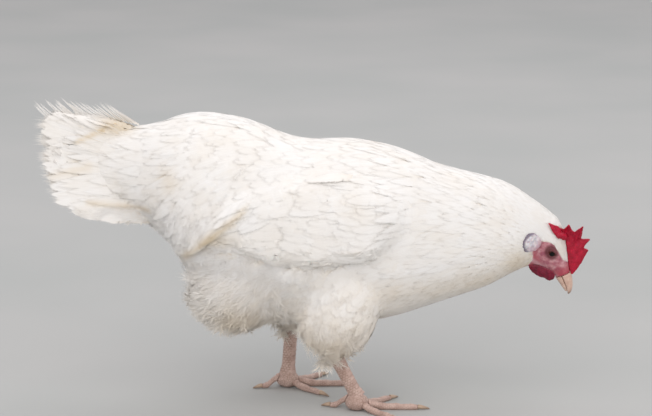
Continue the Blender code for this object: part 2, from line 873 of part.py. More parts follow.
def make_shank(parts, name):
    """The bare shank with raised scutes down its front, and the ball of the foot."""
    side = SIDES[name]
    foot, hock = leg_axis(name)
    top = mix(foot, hock, LEGS[name]["cuff"])
    axis = (top - foot).normalized()
    top -= axis * GAP
    across = Vector((0, side, 0))
    front = across.cross(axis).normalized() * side
    rings = []
    for i in range(SCUTES):
        for edge, raised in ((0.0, 1.0), (0.97, 0.0)):
            share = (i + edge) / SCUTES
            flare = 1 + 0.30 * smooth(1 - share * 5) + 0.12 * smooth(share * 4 - 3)
            radius = SHANK_RADIUS * flare
            points = oval(mix(foot, top, share), front, across, radius * 1.12, radius * 0.86, 12)
            for k in (10, 11, 0, 1, 2):
                points[k] = points[k] + front * 0.55 * MM * raised
            rings.append(points)
    rings.append(oval(top, front, across, SHANK_RADIUS * 1.25, SHANK_RADIUS * 0.97, 12))
    shank = loft("shank_" + name, rings, parts)
    pad = pad_form("pad", foot, parts)
    flatten(pad)
    join(shank, [pad])
    return foot


def pad_form(name, foot, where, grow=0.0):
    radii = Vector((PAD_RADIUS + grow, PAD_RADIUS + grow, 8.2 * MM + grow))
    return ball(name, Vector((foot.x, foot.y, 7.4 * MM)), radii, where, 14)


def flatten(thing):
    """Brings whatever is below the floor up to it, which gives the small flats it rests on."""
    for vert in thing.data.vertices:
        vert.co.z = max(vert.co.z, 0.0)


# Toes: turn from straight ahead, away from the body, in degrees; then length and root radius in mm
TOES = {"inner": (-43, 35, 3.6), "middle": (1, 49, 3.9), "outer": (45, 37, 3.6), "hind": (196, 17, 3.5)}


def toe_ring(start, aim, across, distance, radius, height, sides=10):
    up = Vector((0, 0, 1))
    centre = start + aim * distance
    centre.z = height
    points = oval(centre, up, across, radius * 0.92, radius, sides)
    return [Vector((point.x, point.y, max(point.z, 0.0))) for point in points]


def make_toe(parts, leg, toe, foot):
    """One toe with its row of scutes and pads, and its claw."""
    side = SIDES[leg]
    turn, length, thick = TOES[toe]
    turn = math.radians(turn) * side
    aim = Vector((math.cos(turn), math.sin(turn), 0))
    across = Vector((-aim.y, aim.x, 0))
    scutes = max(3, round(length / 7))
    rise, fall = (10.5, 1.3) if toe == "hind" else (6.4, 3.2)
    rings = []
    reach = TOE_START / MM + length
    for i in range(scutes + 1):
        for edge, raised in ((0.0, 1.0), (0.96, 0.0)):
            if i == scutes and edge:
                continue
            share = (i + edge) / scutes
            distance = mix(TOE_START / MM, reach, share)
            knuckle = 1 + 0.07 * math.cos(2 * math.pi * share * scutes / 2)
            radius = mix(thick, thick * 0.72, share) * knuckle
            height = mix(rise, radius * 0.80, smooth(share * fall))
            points = toe_ring(foot, aim, across, distance * MM, radius * MM, height * MM)
            if raised and i < scutes:
                for k in (9, 0, 1):
                    points[k] = points[k] + Vector((0, 0, 0.4 * MM))
            rings.append(points)
    loft(f"toe_{leg}_{toe}", rings, parts)
    claw_length = 11 if toe != "hind" else 9
    claw = []
    for share, radius in ((0.0, 2.3), (0.35, 1.9), (0.7, 1.2), (1.0, 0.35)):
        distance = reach + GAP / MM + claw_length * share
        height = mix(2.9, 0.9, share**1.5)
        claw.append(toe_ring(foot, aim, across, distance * MM, radius * MM, height * MM, 8))
    loft(f"claw_{leg}_{toe}", claw, parts)


def make_legs(parts):
    for name in SIDES:
        make_thigh(parts, name)
        foot = make_shank(parts, name)
        for toe in TOES:
            make_toe(parts, name, toe, foot)
            cut(bpy.data.objects[f"toe_{name}_{toe}"], [pad_form("pad_guard", foot, parts, GAP)])


def finish_parts(parts):
    """Materials by part, and the whole stood with the centre of its box over the origin."""
    skins = {
        "bill": material("horn", (0.72, 0.56, 0.42), 0.45),
        "claw": material("claw", (0.62, 0.52, 0.42), 0.4),
        "comb": material("comb", RED, 0.5),
        "wattle": material("wattle", (0.36, 0.02, 0.04), 0.5),
        "ear_lobe": material("ear_lobe", (0.78, 0.74, 0.78), 0.6),
        "eye": material("eye", (0.10, 0.03, 0.015), 0.1),
        "shank": material("shank", (0.62, 0.42, 0.36), 0.6),
        "toe": material("toe", (0.62, 0.42, 0.36), 0.6),
    }
    plumage = material("plumage", WHITE, 0.8)
    for thing in parts.objects:
        kind = next((key for key in skins if thing.name.startswith(key)), None)
        thing.data.materials.clear()
        thing.data.materials.append(skins[kind] if kind else plumage)
        thing.data.shade_smooth()
        thing.data.set_sharp_from_angle(angle=math.radians(35))
    corners = np.array([tuple(vert.co) for thing in parts.objects for vert in thing.data.vertices])
    low, high = corners.min(axis=0), corners.max(axis=0)
    hen = bpy.data.objects.new("hen", None)
    bpy.context.scene.collection.objects.link(hen)
    hen.location = (-(low[0] + high[0]) / 2, -(low[1] + high[1]) / 2, -low[2])
    for thing in parts.objects:
        thing.parent = hen


def main():
    clear_scene()
    parts = bpy.data.collections.new("white_leghorn_hen")
    bpy.context.scene.collection.children.link(parts)
    torso = make_torso(parts)
    neck_form("neck", parts, GAP / 2)
    make_head(parts)
    make_eyes(parts)
    make_bill(parts)
    make_comb(parts)
    make_wattles(parts)
    make_lobes(parts)
    make_tail(parts)
    make_wings(parts, torso)
    make_legs(parts)
    finish_parts(parts)


main()
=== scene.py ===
"""The looks of a White Leghorn hen: skin, eyes, bill, comb, scaled legs and feathers as solid vanes.

Places are in metres in the model's frame. Where a place is given in millimetres it is measured from
the same point as the solids were drawn from, and MODEL_SHIFT moves it into the frame.
"""

import math

import bmesh
import bpy
import numpy as np
from mathutils import Matrix, Vector, noise
from mathutils.bvhtree import BVHTree


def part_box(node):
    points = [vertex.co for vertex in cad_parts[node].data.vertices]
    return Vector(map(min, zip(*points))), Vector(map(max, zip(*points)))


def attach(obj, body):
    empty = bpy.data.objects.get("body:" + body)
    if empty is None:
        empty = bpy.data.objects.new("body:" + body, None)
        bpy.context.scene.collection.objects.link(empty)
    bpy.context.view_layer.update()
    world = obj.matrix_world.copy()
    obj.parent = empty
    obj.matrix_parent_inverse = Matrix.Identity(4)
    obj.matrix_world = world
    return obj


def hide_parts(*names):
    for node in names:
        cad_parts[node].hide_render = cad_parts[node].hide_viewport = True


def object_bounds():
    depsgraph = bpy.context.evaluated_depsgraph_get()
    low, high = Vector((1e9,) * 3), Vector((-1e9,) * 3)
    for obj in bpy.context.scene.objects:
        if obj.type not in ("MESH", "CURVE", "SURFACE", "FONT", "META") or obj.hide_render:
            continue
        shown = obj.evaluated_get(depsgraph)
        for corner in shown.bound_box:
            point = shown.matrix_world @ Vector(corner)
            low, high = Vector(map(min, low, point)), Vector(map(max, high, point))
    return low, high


MM = 0.001
SEED = 7

# The head's frame: +X along the bill, +Y to the hen's left, +Z to the crown, from the bill's tip
HEAD_PITCH = math.radians(68)
HEAD_ROLL = math.radians(10)
BILL_TIP = Vector((258, 0, 104)) * MM
EYE_BACK = 48 * MM
EYE_RISE = 1.0 * MM
EYE_TURN = math.radians(18)
EYE_SLANT = math.radians(31)
EYE_RADIUS = 6.0
LID_LENGTH = 4.9
LID_HEIGHT = 3.0

# The bare face's upper and lower edge and its jaw: distances back from the bill's tip, and heights over it.
# These are in millimetres in the head's frame, as is FACE_END, where the face gives way to feathers.
FACE_TOP = ((18, 28, 36, 44, 52, 58, 66), (16, 12, 7.6, 7.0, 7.2, 4, -8))
FACE_FOOT = ((18, 36, 42, 48, 55, 62), (-40, -40, -26, -18, -15, -13))
JAW_LINE = ((20, 38, 50), (-6, -14, -20))
FACE_END = 67

# Grain of the surfaces, and how deep the skin lies inside the solids
BODY_VOXEL = 2.8 * MM
NECK_VOXEL = 1.584 * MM
HEAD_VOXEL = 0.66 * MM
FINE_VOXEL = 0.42 * MM
LEG_VOXEL = 0.8 * MM
TOE_VOXEL = 0.6 * MM
CLAW_VOXEL = 0.3 * MM
COAT_DEPTH = 3.6 * MM
FACE_DEPTH = 0.25 * MM

# Rays towards the body start this far from the middle plane, in metres, well outside the hen
OUTSIDE = 0.3

# Camera: the photograph is a side view from a little above, 0.62 m wide at the hen
CAMERA_RISE = math.radians(12.5)
CAMERA_DISTANCE = 2.2
FIELD_WIDTH = 0.62
CAMERA_AIM = Vector((24.7, 0, 187.8)) * MM

# The saddle's free edge over the wing, as a line in the side view, in millimetres
CREASE_FRONT = -48
CREASE_HEIGHT = 201
CREASE_SLOPE = 0.875
SADDLE_RELIEF = 4.2

# The plane, in the drawing's own directions, where the finer head surface ends inside the neck
NECK_CUT = (224, 0, 160)
NECK_CUT_NORMAL = Vector((-0.86, 0, 0.5)).normalized()

# The head surface's end settles on the body's over this length, where the two lie this near, in millimetres
SETTLE_LENGTH = 14
SETTLE_REACH = 4.5

# Forms that fill out the rump into the tail: centre and radii in millimetres
RUMP = (((-140, 0, 223), (56, 28, 47)), ((-160, 0, 224), (52, 21, 44)), ((-180, 0, 226), (48, 14, 40)))

FLESH = ("torso", "neck", "head", "thigh_left", "thigh_right")
SIDES = {"left": 1, "right": -1}
TOE_NAMES = ("inner", "middle", "outer", "hind")
HEAD_PARTS = ("comb", "ear_lobe_left", "ear_lobe_right", "eye_left", "eye_right", "bill_upper")

# The lie of the coat, as marks on the side view: place, the way feathers point, length, width and lift.
# Places and sizes are in millimetres here and in all that follows, but where MM turns them into metres.
LIE = (
    ((248, 150), (-0.45, 0.89), 5.0, 1.4, 0.50),
    ((240, 170), (-0.65, 0.76), 6.0, 1.7, 0.50),
    ((226, 180), (-0.80, 0.50), 10, 2.6, 0.60),
    ((216, 150), (-0.95, 0.25), 9, 2.6, 0.55),
    ((212, 133), (-1.0, -0.15), 9.5, 2.8, 0.60),
    ((205, 200), (-0.85, 0.40), 22, 5.0, 0.75),
    ((192, 125), (-1.0, -0.35), 20, 5.0, 0.75),
    ((190, 165), (-1.0, 0.05), 26, 5.5, 0.75),
    ((160, 215), (-1.0, 0.15), 40, 8, 0.85),
    ((150, 165), (-1.0, -0.10), 40, 8.5, 0.85),
    ((140, 110), (-1.0, -0.30), 34, 9, 0.9),
    ((90, 240), (-1.0, -0.05), 46, 11, 1.0),
    ((95, 205), (-1.0, -0.15), 42, 11, 1.4),
    ((95, 165), (-1.0, -0.28), 40, 12, 1.2),
    ((80, 95), (-1.0, -0.25), 34, 13, 1.2),
    ((20, 245), (-1.0, -0.10), 48, 12, 1.1),
    ((20, 218), (-1.0, -0.22), 46, 12, 1.7),
    ((20, 110), (-0.9, -0.45), 30, 13, 1.5),
    ((-40, 265), (-1.0, -0.05), 50, 11, 1.1),
    ((-50, 228), (-0.93, -0.38), 50, 10.5, 1.5),
    ((-60, 205), (-0.80, -0.60), 42, 9.5, 1.9),
    ((-60, 170), (-0.9, -0.50), 36, 12, 1.5),
    ((-90, 236), (-0.86, -0.50), 48, 10.5, 1.6),
    ((-92, 200), (-0.50, -0.86), 38, 8.5, 2.4),
    ((-110, 180), (-0.35, -0.94), 32, 8.5, 2.3),
    ((-110, 270), (-1.0, 0.02), 50, 12, 1.2),
    ((-135, 262), (-0.98, 0.16), 54, 12, 1.2),
    ((-140, 225), (-1.0, -0.03), 54, 12, 1.3),
    ((-142, 190), (-1.0, -0.02), 50, 12, 1.3),
    ((-132, 172), (-1.0, 0.02), 40, 12, 1.3),
    ((-175, 264), (-0.92, 0.38), 56, 11, 1.2),
    ((-190, 244), (-0.99, 0.08), 58, 11, 1.2),
    ((-192, 222), (-0.97, -0.16), 58, 11, 1.2),
    ((-185, 205), (-1.0, -0.04), 56, 11, 1.2),
    ((-172, 188), (-0.99, 0.08), 54, 11, 1.2),
    ((-218, 262), (-0.93, 0.32), 50, 10, 1.1),
    ((-222, 236), (-0.99, 0.06), 50, 10, 1.1),
    ((-95, 150), (-0.8, -0.55), 32, 14, 2.4),
    ((-70, 105), (-0.75, -0.65), 30, 15, 4.0),
    ((-20, 90), (-0.7, -0.65), 26, 14, 2.8),
    ((38, 110), (-0.35, -0.95), 26, 12, 1.8),
    ((36, 75), (-0.2, -1.0), 18, 9, 1.8),
    ((35, 57), (-0.1, -1.0), 10, 6, 1.4),
    ((-8, 66), (0.0, -1.0), 12, 8, 1.6),
)
LIE_REACH = 16 * MM
SMALL_FEATHER = 13 * MM

# Places tried for feathers' roots: on the whole skin, on the head up to HEAD_REACH behind the bill's tip,
# and for the down. SPACING is how near two roots may be, as a share of the feather's area
BODY_ROOTS = 90000
HEAD_ROOTS = 900000
DOWN_ROOTS = 150000
HEAD_REACH = 92
SPACING = 0.085
SMALL_SPACING = 0.066

# Vanes: steps, tip, margin, slant, width at the root and roundness, as the Vane class takes them
COAT_VANES = {
    "feathers_small": (9, 0.3, 0.24, 1.2, 0.6, 1.4),
    "feathers_neck": (22, 0.35, 0.17, 1.6, 0.6, 1.5),
    "feathers_body": (28, 0.5, 0.14, 1.6, 0.6, 1.8),
    "feathers_rear": (30, 0.45, 0.16, 1.8, 0.6, 1.6),
    "feathers_tail": (34, 0.35, 0.15, 1.8, 0.6, 1.5),
}
WING_VANE = (34, 0.55, 0.12, 1.4, 0.6, 1.8)
TAIL_VANE = (54, 0.5, 0.14, 2.2, 0.55, 1.7)

# The wrap of the bake map, in metres: height of the body's axis along its length, and the legs' upper end
WRAP_AXIS = ((0, 0.2, 0.5, 0.8, 1.0), (0.24, 0.19, 0.18, 0.165, 0.14))
LEG_TOP = 0.088

# Creamy places of the plumage in the side view, as spots: strength, centre and spread,
# and as lines: strength, ends and width. Two of the lines are painted shade
STAIN_SPOTS = (
    (0.55, (-172, 268), (18, 9)),
    (0.5, (207, 138), (14, 14)),
    (0.2, (185, 125), (30, 16)),
    (0.16, (246, 150), (9, 12)),
    (0.35, (-76, 169), (20, 7)),
    (0.3, (-122, 224), (8, 12)),
    (0.3, (-58, 88), (24, 14)),
    (0.2, (36, 62), (20, 14)),
)
STAIN_AND_SHADE_LINES = (
    (0.3, (-232, 222), (-198, 231), 4),
    # painted shade in a thin crease high on the tail
    (0.7, (-209, 254), (-184, 265), 2.5),
    (0.45, (-199, 198), (-142, 191), 3),
    # painted shade low on the breast, below the wing
    (0.16, (70, 118), (175, 120), 12),
)

# Where the coat is loose and downy, in the side view: strength, centre and spread
SOFT_SPOTS = (
    (1.1, (-72, 104), (52, 42)),
    (0.6, (36, 62), (30, 19)),
    (0.45, (-10, 74), (30, 20)),
    (0.35, (-150, 172), (34, 18)),
)

# The tail's outline, seen from the side: reach from the rump at angles above the level, in degrees
TAIL_HUB = (-110, 228)
TAIL_ANGLES = (-65, -40, -29, -14, -4, 9, 20, 24, 28, 34, 42)
TAIL_REACHES = (60, 80, 97, 122, 129, 132, 140, 132, 115, 88, 72)

# The tail's fan: spread and pitch of its vanes in degrees from the top to the bottom, and the tent over it
TAIL_SPREAD = (1.6, 18)
TAIL_PITCH = (12, 6)
TENT_RISE = (12, 6)
TENT_ROOTS = (262, 178)
TENT_SPLAY = (3.0, 11.5)
TENT_OUTWARD = 1.8 * MM
TENT_START = 0.1
TENT_END = 0.97
TENT_ROWS = 22
TENT_COLUMNS = 34

# The tail's tiers from the innermost out: name, pairs, highest and lowest aim in degrees, the roots' heights
# and distances from the middle, standing out, half width, and reach as a share of the room
TAIL_TIERS = (
    ("rectrices", 11, 16, 6, (252, 190), (2.0, 10), 0.0, 12.5, (0.93, 1.0)),
    ("tail_coverts_long", 13, 15, 5, (254, 186), (2.4, 10.5), 0.4, 10.5, (0.84, 0.99)),
    ("tail_coverts_middle", 14, 14, 5, (257, 182), (2.8, 11), 0.8, 9.0, (0.70, 0.94)),
)
FRINGE_BUNCHES = 26
BUNCH_STRANDS = 9
WISP_COUNT = 420

# The top edge of the folded wing's own feathers, over which the back's feathers hang
WING_TOP = ((-104, -48, 0, 60, 110), (150, 195, 202, 204, 197))

# The wing's coverts, the lowest row first: name, count, where the roots stand at the row's ends and the
# place they bow towards between them, how far back they reach, half width and lift
WING_COVERTS = (
    ("greater_coverts", 13, 38, 76, 62, 10, 1.15),
    ("median_coverts", 15, 58, 88, 54, 9, 1.25),
    ("lesser_coverts_rear", 17, 74, 96, 46, 8, 1.32),
    ("lesser_coverts_front", 17, 90, 110, 42, 7.5, 1.4),
)

# Where the comb's fallen rear point joins the blade
COMB_FILLS = (
    ((-56.5, -7.0, 16.4), 3.0),
    ((-59.0, -10.0, 14.9), 2.7),
    ((-61.0, -12.6, 12.8), 2.3),
    ((-64.5, -13.8, 11.6), 1.8),
)

# The ear lobe: how far it is pressed flat, and how much it widens and stands out towards the rear
LOBE_PRESS = 0.25
LOBE_WIDEN = 0.28
LOBE_SLOPE = 0.45

# Scales of the legs: pitch of the broad plates, and small scales across the back. They are counted from
# SCALES_START before the limb's middle
SHANK_SCALES = (4.6, 5)
TOE_SCALES = (3.4, 4)
SCALES_START = 60

# Colours: of feathers white, shade and cream; of comb and wattles deep, bright and, at the skin, blush;
# of horn pale, dark and tip
PLUMAGE = ((0.87, 0.855, 0.835), (0.74, 0.70, 0.66), (0.70, 0.57, 0.39))
# The down's colours are a lighter copy of the plumage's: painted light that lifts the grey shade among its
# barbs
DOWN_LIGHTENED = ((0.90, 0.885, 0.865), (0.83, 0.80, 0.77), (0.74, 0.61, 0.43))
COMB = ((0.32, 0.004, 0.022), (0.62, 0.010, 0.048))
WATTLE = ((0.12, 0.004, 0.018), (0.30, 0.012, 0.045))
WATTLE_BLUSH = (0.50, 0.14, 0.19)
BILL = ((0.70, 0.50, 0.40), (0.56, 0.36, 0.28), (0.22, 0.13, 0.09))
CLAW = ((0.52, 0.38, 0.27), (0.38, 0.26, 0.18), (0.16, 0.10, 0.07))
BLACK = (0, 0, 0)
FULL = (1, 1, 1)

# The room's light, and its lamps: name, place, size, power in watts and colour
ROOM_COLOUR = (0.98, 0.96, 0.98, 1)
ROOM_STRENGTH = 0.78
LAMPS = (
    ("key", (-0.3, -1.8, 2.4), 3.0, 27, (1.0, 0.985, 0.96)),
    ("back", (0.4, 1.2, 2.3), 2.4, 16, (0.97, 0.98, 1.0)),
    ("front", (1.9, -1.5, 0.9), 1.6, 6, (1.0, 0.98, 0.95)),
    ("fill", (-0.5, -2.5, 1.0), 1.4, 10, (1.0, 0.985, 0.98)),
)
LAMP_AIM = Vector((0, 0, 0.15))
FLOOR_HALF = 6.0


def smooth(share):
    share = np.clip(share, 0.0, 1.0)
    return share * share * (3 - 2 * share)


def mix(a, b, share):
    return a + (b - a) * share


def middle_of(node):
    low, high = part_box(node)
    return (Vector(low) + Vector(high)) / 2


def head_turn():
    bill = Vector((math.cos(HEAD_PITCH), 0, -math.sin(HEAD_PITCH)))
    crown = Vector((math.sin(HEAD_PITCH), 0, math.cos(HEAD_PITCH)))
    left = Vector((0, 1, 0))
    rolled_crown = crown * math.cos(HEAD_ROLL) - left * math.sin(HEAD_ROLL)
    rolled_left = left * math.cos(HEAD_ROLL) + crown * math.sin(HEAD_ROLL)
    return Matrix((bill, rolled_left, rolled_crown)).transposed()


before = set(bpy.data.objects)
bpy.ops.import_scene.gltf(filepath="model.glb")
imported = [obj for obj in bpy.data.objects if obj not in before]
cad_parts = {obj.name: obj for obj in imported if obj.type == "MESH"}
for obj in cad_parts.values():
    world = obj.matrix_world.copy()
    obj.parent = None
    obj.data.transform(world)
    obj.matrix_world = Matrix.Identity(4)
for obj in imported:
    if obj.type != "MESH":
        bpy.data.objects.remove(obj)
CAD_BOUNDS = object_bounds()
HEAD_TURN = head_turn()
EYES_MIDDLE = (middle_of("eye_left") + middle_of("eye_right")) / 2
HEAD_ORIGIN = EYES_MIDDLE - HEAD_TURN @ Vector((-EYE_BACK, 0, EYE_RISE))
MODEL_SHIFT = HEAD_ORIGIN - BILL_TIP
MODEL_SHIFT.y = 0
HEAD = Matrix.Translation(HEAD_ORIGIN) @ HEAD_TURN.to_4x4()
SHIFT = np.array(MODEL_SHIFT)


def place(x, y, z):
    """A point given in millimetres from the drawing's own origin."""
    return Vector((x, y, z)) * MM + MODEL_SHIFT


def design(points):
    """Coordinates in millimetres from the drawing's origin."""
    return (points - SHIFT) / MM


def head_coordinates(points):
    """Distance back from the bill's tip, to the left and towards the crown, in millimetres."""
    inverse = np.array(HEAD.inverted())
    local = points @ inverse[:3, :3].T + inverse[:3, 3]
    return -local[:, 0] / MM, local[:, 1] / MM, local[:, 2] / MM


# Meshes to and from arrays


def points_of(mesh):
    flat = np.empty(len(mesh.vertices) * 3)
    mesh.vertices.foreach_get("co", flat)
    return flat.reshape(-1, 3)


def normals_of(mesh):
    flat = np.empty(len(mesh.vertices) * 3)
    mesh.vertex_normals.foreach_get("vector", flat)
    return flat.reshape(-1, 3)


def set_points(mesh, points):
    mesh.vertices.foreach_set("co", np.ascontiguousarray(points, float).ravel())
    mesh.update()


def push_out(mesh, heights):
    """Raises the surface along its normals by heights in millimetres."""
    set_points(mesh, points_of(mesh) + normals_of(mesh) * (heights * MM)[:, None])


def triangle_mesh(name, points, triangles):
    mesh = bpy.data.meshes.new(name)
    mesh.vertices.add(len(points))
    mesh.vertices.foreach_set("co", np.ascontiguousarray(points, float).ravel())
    mesh.loops.add(triangles.size)
    mesh.loops.foreach_set("vertex_index", triangles.astype(np.int32).ravel())
    mesh.polygons.add(len(triangles))
    mesh.polygons.foreach_set("loop_start", np.arange(len(triangles), dtype=np.int32) * 3)
    mesh.update(calc_edges=True)
    mesh.validate()
    return mesh


def add_piece(name, mesh, surface, replaces=()):
    piece = bpy.data.objects.new(name, mesh)
    bpy.context.scene.collection.objects.link(piece)
    mesh.materials.clear()
    mesh.materials.append(surface)
    mesh.shade_smooth()
    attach(piece, "root")
    if replaces:
        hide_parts(*replaces)
    return piece


def set_attribute(mesh, name, values, kind="FLOAT"):
    attribute = mesh.attributes.new(name, kind, "POINT")
    field = "value" if kind == "FLOAT" else "vector"
    attribute.data.foreach_set(field, np.ascontiguousarray(values, float).ravel())


def joined(names):
    """One mesh of the named CAD nodes together."""
    shape = bmesh.new()
    for name in names:
        shape.from_mesh(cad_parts[name].data)
    return shape


def mesh_from(shape, name):
    mesh = bpy.data.meshes.new(name)
    shape.to_mesh(mesh)
    shape.free()
    return mesh


def remeshed(mesh, voxel, rounds, name):
    """The mesh rebuilt as one even closed surface, then eased by rounds of smoothing."""
    holder = bpy.data.objects.new(name, mesh)
    bpy.context.scene.collection.objects.link(holder)
    remesh = holder.modifiers.new("remesh", "REMESH")
    remesh.mode = "VOXEL"
    remesh.voxel_size = voxel
    if rounds:
        ease = holder.modifiers.new("ease", "SMOOTH")
        ease.iterations = rounds
        ease.factor = 0.5
    bpy.context.view_layer.update()
    graph = bpy.context.evaluated_depsgraph_get()
    result = bpy.data.meshes.new_from_object(holder.evaluated_get(graph))
    bpy.data.objects.remove(holder)
    result.name = name
    return result


def tree_of(mesh):
    shape = bmesh.new()
    shape.from_mesh(mesh)
    tree = BVHTree.FromBMesh(shape)
    shape.free()
    return tree


def tree_distance(points, tree):
    return np.array([tree.find_nearest(Vector(point))[3] for point in points])


def noise_at(points, size, seed=0):
    """Smooth noise, about -1 to 1, with features of a given size."""
    scaled = points / size + seed * 17.3
    return np.array([noise.noise(Vector(point)) for point in scaled])


# Shaders


class Shader:
    """A small helper that builds a Principled material node by node."""

    def __init__(self, name, roughness, **constants):
        self.material = bpy.data.materials.new(name)
        self.material.use_nodes = True
        self.tree = self.material.node_tree
        self.surface = self.tree.nodes["Principled BSDF"]
        self.surface.inputs["Roughness"].default_value = roughness
        for socket, value in constants.items():
            self.surface.inputs[socket.replace("_", " ")].default_value = value

    def add(self, kind, links=None, **settings):
        node = self.tree.nodes.new(kind)
        for key, value in settings.items():
            setattr(node, key, value)
        for socket, source in (links or {}).items():
            self.set(node, socket, source)
        return node

    def set(self, node, socket, source):
        if isinstance(source, bpy.types.NodeSocket):
            self.tree.links.new(source, node.inputs[socket])
        else:
            node.inputs[socket].default_value = source

    def here(self):
        return self.add("ShaderNodeTexCoord").outputs["Object"]

    def noise(self, scale, detail=3.0, vector=None):
        links = {"Vector": vector or self.here(), "Scale": scale, "Detail": detail}
        return self.add("ShaderNodeTexNoise", links).outputs["Fac"]

    def cells(self, scale, feature="F1"):
        links = {"Vector": self.here(), "Scale": scale}
        return self.add("ShaderNodeTexVoronoi", links, feature=feature).outputs["Distance"]

    def ramp(self, source, *stops):
        node = self.add("ShaderNodeValToRGB", {"Fac": source})
        elements = node.color_ramp.elements
        while len(elements) < len(stops):
            elements.new(0.5)
        for element, (position, colour) in zip(elements, stops):
            element.position = position
            element.color = (*colour, 1)
        return node.outputs["Color"]

    def attribute(self, name, output="Fac"):
        return self.add("ShaderNodeAttribute", attribute_name=name).outputs[output]

    def blend(self, share, first, second, how="MIX"):
        node = self.add("ShaderNodeMix", data_type="RGBA", blend_type=how)
        self.set(node, 0, share)
        self.set(node, 6, (*first, 1) if isinstance(first, tuple) else first)
        self.set(node, 7, (*second, 1) if isinstance(second, tuple) else second)
        return node.outputs[2]

    def math(self, how, first, second):
        node = self.add("ShaderNodeMath", operation=how)
        self.set(node, 0, first)
        self.set(node, 1, second)
        return node.outputs[0]

    def colour(self, source):
        self.set(self.surface, "Base Color", source)

    def bump(self, height, distance, strength, under=None):
        links = {"Height": height, "Distance": distance, "Strength": strength}
        if under is not None:
            links["Normal"] = under
        normal = self.add("ShaderNodeBump", links).outputs["Normal"]
        self.set(self.surface, "Normal", normal)
        return normal


def plumage_shader(name, white, shade, cream, sheen=0.25):
    """White feather: creamy towards the root, in stained places and where warm shade is painted, with fine
    barbs off the shaft.
    """
    shader = Shader(name, 0.78, Sheen_Weight=sheen, Sheen_Roughness=0.45, Specular_IOR_Level=0.2)
    patches = shader.ramp(shader.noise(38, 3), (0.32, cream), (0.62, white))
    base = shader.blend(0.14, white, patches)
    along_barb = {0: shader.attribute("barb", "Vector"), 1: (45, 1300, 1)}
    strands = shader.add("ShaderNodeVectorMath", along_barb, operation="MULTIPLY").outputs["Vector"]
    streaks = shader.ramp(shader.noise(1.0, 2, strands), (0.42, BLACK), (0.68, (0.26, 0.26, 0.26)))
    streaked = shader.blend(streaks, base, shade)
    # The cream laid on here carries the stains and also the painted warm shade
    shader.colour(shader.blend(shader.attribute("stain_and_shade"), streaked, cream))
    barbs = shader.add(
        "ShaderNodeTexWave",
        {"Vector": shader.attribute("barb", "Vector"), "Scale": 420, "Distortion": 1.2, "Detail": 1.0},
        wave_type="BANDS",
        bands_direction="DIAGONAL",
    ).outputs["Fac"]
    shader.bump(barbs, 0.0001, 0.3)
    return shader.material


def skin_shader():
    """Bare face skin where the attribute says so, pale feathered skin elsewhere."""
    shader = Shader("skin", 0.55, Subsurface_Weight=0.12, Subsurface_Scale=0.002, Specular_IOR_Level=0.35)
    shader.surface.inputs["Subsurface Radius"].default_value = (1.0, 0.35, 0.25)
    blotch = shader.ramp(
        shader.noise(220, 4),
        (0.32, (0.36, 0.10, 0.14)),
        (0.50, (0.50, 0.20, 0.23)),
        (0.72, (0.68, 0.40, 0.42)),
    )
    red = shader.blend(shader.attribute("flush"), blotch, (0.42, 0.045, 0.07))
    banded = shader.blend(shader.attribute("pale"), red, (0.72, 0.46, 0.50))
    bare = shader.blend(shader.attribute("shade"), banded, (0.11, 0.022, 0.026))
    shader.colour(shader.blend(shader.attribute("bare"), (0.84, 0.81, 0.76), bare))
    wrinkles = shader.bump(shader.noise(900, 5), 0.0004, 0.5)
    shader.bump(shader.cells(1500), 0.0002, 0.45, wrinkles)
    return shader.material


def comb_shader(name, deep, bright, roughness=0.42, blush=None):
    shader = Shader(name, roughness, Subsurface_Weight=0.15, Subsurface_Scale=0.0015)
    shader.surface.inputs["Specular IOR Level"].default_value = 0.3
    shader.surface.inputs["Subsurface Radius"].default_value = (1.0, 0.12, 0.1)
    mottle = shader.ramp(shader.noise(260, 4), (0.3, deep), (0.68, bright))
    pits = shader.ramp(shader.cells(1050), (0.0, BLACK), (0.75, (0.55, 0.55, 0.55)))
    base = shader.blend(pits, mottle, deep)
    shader.colour(shader.blend(shader.attribute("blush"), base, blush) if blush else base)
    grains = shader.bump(shader.cells(1050), 0.0005, 0.7)
    shader.bump(shader.noise(2600, 3), 0.0001, 0.5, grains)
    return shader.material


def horn_shader(name, pale, dark, tip):
    """Horn that darkens along its attribute towards the tip, with faint growth lines."""
    shader = Shader(name, 0.34, Specular_IOR_Level=0.5, Coat_Weight=0.15, Coat_Roughness=0.3)
    cloud = shader.ramp(shader.noise(240, 4), (0.3, dark), (0.7, pale))
    shader.colour(shader.blend(shader.attribute("tip"), cloud, tip))
    shader.bump(shader.noise(1500, 3), 0.0001, 0.4)
    return shader.material


def leg_shader():
    shader = Shader("leg_skin", 0.5, Specular_IOR_Level=0.4)
    base = shader.ramp(
        shader.noise(120, 4),
        (0.28, (0.42, 0.28, 0.235)),
        (0.55, (0.56, 0.40, 0.345)),
        (0.78, (0.68, 0.52, 0.46)),
    )
    scaled = shader.blend(shader.attribute("groove"), base, (0.27, 0.17, 0.12))
    seams = shader.ramp(shader.cells(430, "DISTANCE_TO_EDGE"), (0.0, FULL), (0.14, BLACK))
    pebbles = shader.math("MULTIPLY", seams, shader.attribute("pebble"))
    shader.colour(shader.blend(pebbles, scaled, (0.30, 0.19, 0.14)))
    knobs = shader.bump(shader.math("MULTIPLY", pebbles, -1.0), 0.0005, 0.7)
    grain = shader.bump(shader.cells(1300), 0.00015, 0.5, knobs)
    shader.bump(shader.noise(1900, 3), 0.0001, 0.4, grain)
    return shader.material


